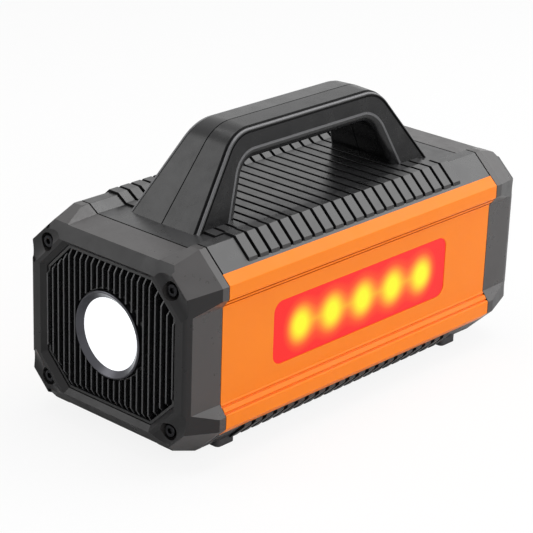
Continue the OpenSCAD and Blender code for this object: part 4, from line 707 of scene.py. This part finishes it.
def handle_rings(points):
    """Half sections of the handle, from its rear foot over the grip to its front foot."""
    half = list(zip(arch_half(**OUTER_ARCH), arch_half(**INNER_ARCH)))
    rings = []
    for sign, arches in [(1, pair) for pair in half] + [(-1, pair) for pair in reversed(half[:-1])]:
        ring = []
        for arch, depth, origin, across, _ in points:
            base, normal = arches[arch]
            place = base + normal * (depth if arch == INNER else -depth)
            x = across if origin == "middle" else FOOT_HALF_W - SIDE_LEAN * place.y - across
            back = OUTER_SET * max(place.y, 0.0) / OUTER_ARCH["rise"] if arch == OUTER else 0.0
            ring.append((x, HANDLE_Y + back + sign * place.x, HANDLE_Z + place.y))
        rings.append(ring)
    return rings


def make_handle():
    """Two shells of satin ABS that meet in a fine seam over the grip."""
    points = section_points()
    rings = handle_rings(points)
    swept_faces = (len(rings) - 1) * len(points)
    for side, sign in SIDES:
        piece = lofted("handle_shell_" + side, [[(sign * x, y, z) for x, y, z in ring] for ring in rings])
        dress(piece, handle_black, "handle_" + side)
        # Painted shade on the handle's grooves and painted highlight on its bead, face by face
        piece.data.materials.append(groove_painted_shade)
        piece.data.materials.append(bead_painted_highlight)
        for face in piece.data.polygons:
            if face.index < swept_faces:
                face.material_index = points[face.index % len(points)][-1]


# ---- ribbed shells

def slope_z(x, edge_z):
    """Height of the slope between a shoulder and its rail."""
    return edge_z - (x - SHOULDER_X) * (edge_z - RAIL_Z) / (RAIL_X - SHOULDER_X)


def cross_line(edge_z, end_x):
    """The upper outline of the section, from +X to -X, ended on both slopes at end_x."""
    half = [(end_x, slope_z(end_x, edge_z)), (SHOULDER_X, edge_z), (SHOULDER_IN, edge_z),
            (VALLEY_X, edge_z - VALLEY_D)]
    return half + [(-x, z) for x, z in reversed(half)]


def make_ribs(shell, edge_z, gap, first_y, sign):
    """The ribs of a shell: plates with sloping ends that cross the pack from seam to seam."""
    end_x = SPLIT_X - STRIP_W
    top = offset_line(cross_line(edge_z, end_x - RIB_END_W), -RIB_PROUD)
    ends = offset_line(cross_line(edge_z, end_x), RIB_END_D)
    bottom = offset_line(cross_line(edge_z, end_x), RIB_GROOVE_D - RIB_PROUD + ROOT_LAP)
    outline = [ends[0]] + top + [ends[-1]] + list(reversed(bottom))
    half_w = (RIB_PITCH - gap) / 2
    ribs = lofted(shell + "_ribs", long_rings([(x, sign * z) for x, z in outline], -half_w, half_w))
    round_edges(ribs, RIB_EDGE_R, angle=60)
    tree, given = start_pattern("row_of_" + ribs.name, {"Count": "Int", "Pitch": "Vector", "Start": "Vector"})
    line = add(tree, "GeometryNodeMeshLine", {
        "Count": given["Count"], "Start Location": given["Start"], "Offset": given["Pitch"]}, mode="OFFSET")
    row = add(tree, "GeometryNodeInstanceOnPoints", {
        "Points": line.outputs["Mesh"], "Instance": given["Piece"]})
    end_pattern(tree, given, row)
    lay_pattern(ribs, tree, {
        "Count": RIB_COUNT, "Pitch": [0.0, RIB_PITCH * MM, 0.0], "Start": [0.0, first_y * MM, 0.0],
        "Material": shell_black})
    dress(ribs, shell_black, shell)
    # Painted shade: the ribs' walls that face the grooves between them
    other_finish(ribs, groove_painted_shade, lambda normal, centre: abs(normal.y) > 0.8)


def make_ribbed_shell(shell, edge_z, gap, sign):
    """A moulded shell: plain ends beside the caps, and ribs on a sunk floor between them."""
    split_line = cross_line(edge_z, SPLIT_X)
    inside = list(reversed(offset_line(split_line, SHELL_T)))
    floor_d = RIB_GROOVE_D - RIB_PROUD
    row_start = -SEAM_Y + RIB_START
    row_end = row_start + RIB_COUNT * RIB_PITCH
    start, stop = row_start + gap / 2 - END_GAP, row_end - gap / 2 + END_GAP
    end = SEAM_Y - SEAM_GAP

    def add_part(part, outline, y0, y1, material=shell_black):
        rings = long_rings([(x, sign * z) for x, z in outline], y0, y1)
        return dress(lofted(shell + part, rings), material, shell)

    rounded = round_corners(split_line, [SHELL_EDGE_R] * len(split_line))
    for part, y0, y1 in (("_front_end", -end, start), ("_rear_end", stop, end)):
        plain = add_part(part, rounded + inside, y0, y1)
        # Painted shade: the plain ends' faces towards the seam and towards the first groove
        other_finish(plain, groove_painted_shade, lambda normal, centre: abs(normal.y) > 0.9)
    # Painted shade: the floor between the ribs
    add_part("_groove_floor", offset_line(split_line, floor_d) + inside, start, stop, groove_painted_shade)
    slope = [(x, slope_z(x, edge_z)) for x in (SPLIT_X, SPLIT_X - STRIP_W - STRIP_LAP)]
    strip = slope + list(reversed(offset_line(slope, floor_d + ROOT_LAP)))
    for side, side_sign in SIDES:
        add_part("_strip_" + side, [(side_sign * x, z) for x, z in strip], start, stop)
    make_ribs(shell, edge_z, gap, row_start + RIB_PITCH / 2, sign)


# ---- side panels

def notched_slope(a, b):
    """A slope of the recess with its two fine grooves."""
    a, b = Vector(a), Vector(b)
    along = (b - a).normalized()
    inward = Vector((-along.y, along.x)) * NOTCH_D
    out = [a]
    for share in NOTCH_AT:
        middle = a.lerp(b, share)
        floor_half = along * NOTCH_HALF_W * NOTCH_FLOOR
        out += [middle - along * NOTCH_HALF_W, middle - floor_half + inward, middle + floor_half + inward,
                middle + along * NOTCH_HALF_W]
    return [tuple(p) for p in out + [b]]


def in_notch(normal, centre):
    """Whether a face of a side panel lies inside a fine groove of its upper slope, where the shade is
    painted.
    """
    share = (RAIL_IN_Z - abs(centre.z - AXIS_Z)) / (RAIL_IN_Z - RECESS_Z)
    depth = RAIL_X + (RECESS_X - RAIL_X) * share - abs(centre.x)
    return centre.z > AXIS_Z and 0 < share < 1 and NOTCH_LIP < depth < 2 * NOTCH_D


def panel_outline():
    """A side panel's section: a recess between two rails, with sloping lips towards the shells."""
    low_end, high_end = (SPLIT_X, -slope_z(SPLIT_X, BELLY_Z)), (SPLIT_X, slope_z(SPLIT_X, ROOF_Z))
    low_rail, high_rail = (RAIL_X, -RAIL_Z), (RAIL_X, RAIL_Z)
    low_slope = [(RAIL_X, -RAIL_IN_Z), (RECESS_X, -RECESS_Z)]
    high_slope = [(RECESS_X, RECESS_Z), (RAIL_X, RAIL_IN_Z)]
    lower, upper = notched_slope(*low_slope), notched_slope(*high_slope)
    front = [low_end, low_rail] + lower + upper + [high_rail, high_end]
    sharp = [0.0] * (len(lower) - 2)
    radii = [0.0, RAIL_R, RAIL_R] + sharp + [RECESS_R, RECESS_R] + sharp + [RAIL_R, RAIL_R, 0.0]
    back = offset_line([low_end, low_rail] + low_slope + high_slope + [high_rail, high_end], PANEL_T)
    return round_corners(front, radii) + list(reversed(back))


def lamp_window_cutter():
    corners = [(y * LAMP_L / 2, z * LAMP_H / 2) for y, z in CORNERS]
    window = round_corners(corners, [LAMP_R] * 4, steps=8, closed=True)
    depths = (RECESS_X - LAMP_CUT_IN, RECESS_X + LAMP_CUT_OUT)
    return lofted("lamp_window_cutter", [[(x, y, AXIS_Z + z) for y, z in window] for x in depths])


def make_side_panels():
    """Two orange mouldings, the right one with the warning lamp's window."""
    outline = panel_outline()
    half_l = SEAM_Y - PANEL_GAP
    for side, sign in SIDES:
        rings = long_rings([(sign * x, z) for x, z in outline], -half_l, half_l)
        piece = lofted("orange_panel_" + side, rings, smooth=26)
        if side == "right":
            cut_away(piece, lamp_window_cutter(), smooth=26)
        dress(piece, panel_orange, "side_panel_" + side)
        # Painted shade in the upper slopes' fine grooves; the lower ones keep the panel's colour
        other_finish(piece, orange_painted_shade, in_notch)


# ---- grille

def octagon_in(inset):
    """The outline of the front cap's opening moved inwards, as a closed line."""
    line = [OPENING[-1]] + OPENING + [OPENING[0]]
    return offset_line(line, inset)[1:-1]


def make_tray():
    """The octagonal rim that holds the fins."""
    outer, inner = octagon_in(TRAY_GAP), octagon_in(TRAY_GAP + TRAY_T)
    rings = []
    for outline, depth in ((outer, TRAY_BACK), (outer, TRAY_FRONT), (inner, TRAY_FRONT), (inner, FIN_ROOT)):
        rings.append([(x, -SEAM_Y - depth, AXIS_Z + z) for x, z in outline])
    dress(lofted("grille_tray", rings), grille_black, "front_grille")


def make_sleeve():
    """The tube round the torch's bezel, its front edges chamfered."""
    outer_r, edge_d = SLEEVE_R + SLEEVE_T, SLEEVE_FRONT - SLEEVE_EDGE
    outline = [(SLEEVE_R, SLEEVE_BACK), (outer_r, SLEEVE_BACK),
               (outer_r, edge_d), (outer_r - SLEEVE_EDGE, SLEEVE_FRONT),
               (SLEEVE_R + SLEEVE_EDGE, SLEEVE_FRONT), (SLEEVE_R, edge_d)]
    sleeve = lofted("grille_sleeve", turned_rings(outline, steps=96), all_round=True)
    dress(sleeve, grille_black, "front_grille")


def one_fin(reach):
    """A fin as tall as the middle of the tray: an upright plate with sloping ends and a chamfered front."""
    slope_d = FIN_FRONT - FIN_END_D
    side = [(FIN_ROOT - FIN_SUNK, -reach), (slope_d, -reach), (FIN_FRONT, -reach + FIN_END_Z),
            (FIN_FRONT, reach - FIN_END_Z), (slope_d, reach), (FIN_ROOT - FIN_SUNK, reach)]
    half_t = FIN_T / 2
    rings = []
    for x, chamfer in ((-half_t, FIN_EDGE), (-half_t + FIN_EDGE, 0.0),
                       (half_t - FIN_EDGE, 0.0), (half_t, FIN_EDGE)):
        rings.append([(x, -SEAM_Y - depth + (chamfer if depth > FIN_ROOT else 0.0), z) for depth, z in side])
    return lofted("grille_fins", rings)


def fin_pattern():
    """A row of fins across the tray, each scaled to the height that the octagon has there."""
    tree, given = start_pattern("fins_of_the_grille", {
        "Count": "Int", "Pitch": "Float", "Axis height": "Float", "Full height": "Float",
        "Flat half width": "Float", "Corner slope": "Float"})
    start_x = given["Count"]
    for operation, value in (("SUBTRACT", 1.0), ("MULTIPLY", given["Pitch"]), ("MULTIPLY", -0.5)):
        start_x = add(tree, "ShaderNodeMath", {0: start_x, 1: value}, operation=operation).outputs[0]
    start = add(tree, "ShaderNodeCombineXYZ", {"X": start_x, "Z": given["Axis height"]})
    step = add(tree, "ShaderNodeCombineXYZ", {"X": given["Pitch"]})
    line = add(tree, "GeometryNodeMeshLine", {
        "Count": given["Count"], "Start Location": start.outputs[0],
        "Offset": step.outputs[0]}, mode="OFFSET")
    # Past the flat middle, the height falls with the corner's slope
    parts = add(tree, "ShaderNodeSeparateXYZ", {0: add(tree, "GeometryNodeInputPosition").outputs[0]})
    drop = parts.outputs["X"]
    for operation, value in (("ABSOLUTE", 0.0), ("SUBTRACT", given["Flat half width"]), ("MAXIMUM", 0.0),
                             ("MULTIPLY", given["Corner slope"])):
        drop = add(tree, "ShaderNodeMath", {0: drop, 1: value}, operation=operation).outputs[0]
    height = add(tree, "ShaderNodeMath", {0: given["Full height"], 1: drop}, operation="SUBTRACT")
    share = add(tree, "ShaderNodeMath", {0: height.outputs[0], 1: given["Full height"]}, operation="DIVIDE")
    scale = add(tree, "ShaderNodeCombineXYZ", {"X": 1.0, "Y": 1.0, "Z": share.outputs[0]})
    row = add(tree, "GeometryNodeInstanceOnPoints", {
        "Points": line.outputs["Mesh"], "Instance": given["Piece"], "Scale": scale.outputs[0]})
    end_pattern(tree, given, row)
    return tree


def make_fins():
    """Upright fins of gloss ABS that stop at the torch's sleeve."""
    inner = octagon_in(TRAY_GAP + TRAY_T)
    (side_x, side_z), (flat_x, reach) = inner[1:3]
    fins = one_fin(reach)
    lay_pattern(fins, fin_pattern(), {
        "Count": FIN_COUNT, "Pitch": FIN_PITCH * MM, "Axis height": AXIS_Z * MM, "Full height": reach * MM,
        "Flat half width": (flat_x - FIN_T / 2) * MM, "Corner slope": (reach - side_z) / (side_x - flat_x),
        "Material": grille_black})
    room_r, (back, front) = SLEEVE_R + SLEEVE_T / 2, SLEEVE_CUT
    room = [(0.0, back), (room_r, back), (room_r, front), (0.0, front)]
    cut_away(fins, lofted("sleeve_cutter", turned_rings(room, steps=64), all_round=True), smooth=30)
    dress(fins, grille_black, "front_grille")
    # Painted highlight on the fins' front faces
    other_finish(fins, fin_edge_painted_highlight, lambda normal, centre: normal.y < -0.6)


# ---- cap screws

def screw_rings(facing):
    """Rings of one screw, from its shank over the knurled head into its hexagon socket."""
    steps = 48

    def ring(depth, radius, knurl=0.0, hexagon=False):
        out = []
        for k in range(steps):
            turn = 2 * math.pi * k / steps
            r = radius - (knurl if k % 2 else 0.0)
            if hexagon:
                r = radius / math.cos(turn % (math.pi / 3) - math.pi / 6)
            out.append((r * math.cos(turn), facing * (SEAM_Y + depth), r * math.sin(turn)))
        return out

    top, corner_r = HEAD_SEAT + HEAD_H, SOCKET_AF / 2 / math.cos(math.pi / 6)
    rings = [ring(HEAD_SEAT - SHANK_L, SHANK_R), ring(HEAD_SEAT, SHANK_R),
             ring(HEAD_SEAT, HEAD_R, knurl=KNURL_D), ring(top - KNURL_END, HEAD_R, knurl=KNURL_D)]
    rings += [ring(top - down, HEAD_R - inwards) for down, inwards in HEAD_EDGE]
    rings += [ring(top, corner_r + SOCKET_EDGE_W)]
    rings += [ring(top - depth, SOCKET_AF / 2, hexagon=True) for depth in (SOCKET_EDGE_D, SOCKET_D)]
    return rings + [ring(top - SOCKET_TIP_D, SOCKET_TIP_R)]


def make_cap_screws():
    """Four socket head screws in each cap, one in every corner."""
    for end, facing in ENDS:
        screw = lofted(end + "_cap_screws", screw_rings(facing))
        tree, given = start_pattern("four_" + screw.name, {
            "Width": "Float", "Height": "Float", "Middle": "Vector"})
        grid = add(tree, "GeometryNodeMeshGrid", {
            "Size X": given["Width"], "Size Y": given["Height"], "Vertices X": 2, "Vertices Y": 2})
        upright = add(tree, "GeometryNodeTransform", {
            "Geometry": grid.outputs["Mesh"], "Translation": given["Middle"],
            "Rotation": (math.pi / 2, 0.0, 0.0)})
        corners = add(tree, "GeometryNodeInstanceOnPoints", {
            "Points": upright.outputs["Geometry"], "Instance": given["Piece"]})
        end_pattern(tree, given, corners)
        lay_pattern(screw, tree, {
            "Width": 2 * SCREW_X * MM, "Height": 2 * SCREW_Z * MM, "Middle": [0.0, 0.0, AXIS_Z * MM],
            "Material": black_oxide})
        dress(screw, black_oxide, end + "_screws")


# ---- caps and control panel

def on_nose(normal, centre):
    """Faces that get the painted shade: the flat nose, the bevel of the opening, the tapered bands beside the
    recesses and the rear cap's back.
    """
    inwards = Vector((centre.x, centre.z - AXIS_Z)).dot((normal.x, normal.z)) < 0
    beside = abs(normal.x) > 0.75 and abs(normal.y) > 0.15
    at_back = centre.y > 0 and normal.y > 0.3
    facing = abs(normal.y) > 0.6 or beside or at_back
    depth = abs(centre.y) - SEAM_Y
    return depth > NOSE_FROM and facing or depth > MOUTH_FROM and inwards


def at_seam(normal, centre):
    """The edge of a cap that faces its seam."""
    return abs(normal.y) > 0.9 and abs(centre.y) < SEAM_Y + 0.5


def make_caps():
    """The two black end caps: painted sheen on their planes, and painted shade on their nose, which is darker
    than the planes round it.
    """
    for cap in ("front_cap", "rear_cap"):
        moulded = dress(softened(cap, CAP_EDGE_R), cap_painted_sheen, cap)
        # Painted shade on the nose, over the painted sheen of the cap
        other_finish(moulded, nose_painted_shade, on_nose)
        # Painted shade: the cap's edge in the open seam
        other_finish(moulded, groove_painted_shade, at_seam)


make_handle()
make_ribbed_shell("top_shell", ROOF_Z, TOP_GAP, 1)
make_ribbed_shell("bottom_shell", BELLY_Z, BOTTOM_GAP, -1)
make_side_panels()
make_tray()
make_sleeve()
make_fins()
make_cap_screws()
make_caps()
dress(softened("control_panel", PANEL_EDGE_R), insert_black, "control_panel")


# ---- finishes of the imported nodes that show

finishes = {
    zinc_plate: ("handle_screws", "grille_screws", "torch_screws", "warning_screws", "panel_screws",
                 "tray_screws", "board_screws", "usb_cover_pin", "jump_cover_pin"),
    black_oxide: ("handle_cross_screws",),
    nickel_plate: ("torch_reflector", "usb_a_sockets", "usb_c_socket"),
    gold_plate: ("jump_contacts",),
    bare_aluminium: ("torch_heat_sink",),
    bezel_grey: ("torch_bezel",),
    pouch_foil: ("battery_cells",),
    foot_grey: ("feet",),
    rubber_black: ("lens_seal", "usb_cover", "jump_cover", "cell_pads", "negative_lead"),
    button_orange: ("power_button", "torch_chip", "warning_lights", "inductor"),
    button_grey: ("light_button",),
    button_red: ("boost_button", "positive_lead"),
    insert_black: ("display_window", "tact_switches", "relay"),
    white_abs: ("torch_board", "warning_tray", "warning_board", "battery_straps"),
    tray_grey: ("display_module", "battery_tray"),
    socket_blue: ("jump_socket", "capacitors"),
    circuit_green: ("control_board", "main_board"),
    lamp_red: ("warning_lens",),
    torch_glow: ("torch_lens",),
}
for finish, nodes in finishes.items():
    for node in nodes:
        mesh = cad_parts[node].data
        mesh.materials.clear()
        mesh.materials.append(finish)

bpy.context.scene.view_settings.view_transform = "Standard"
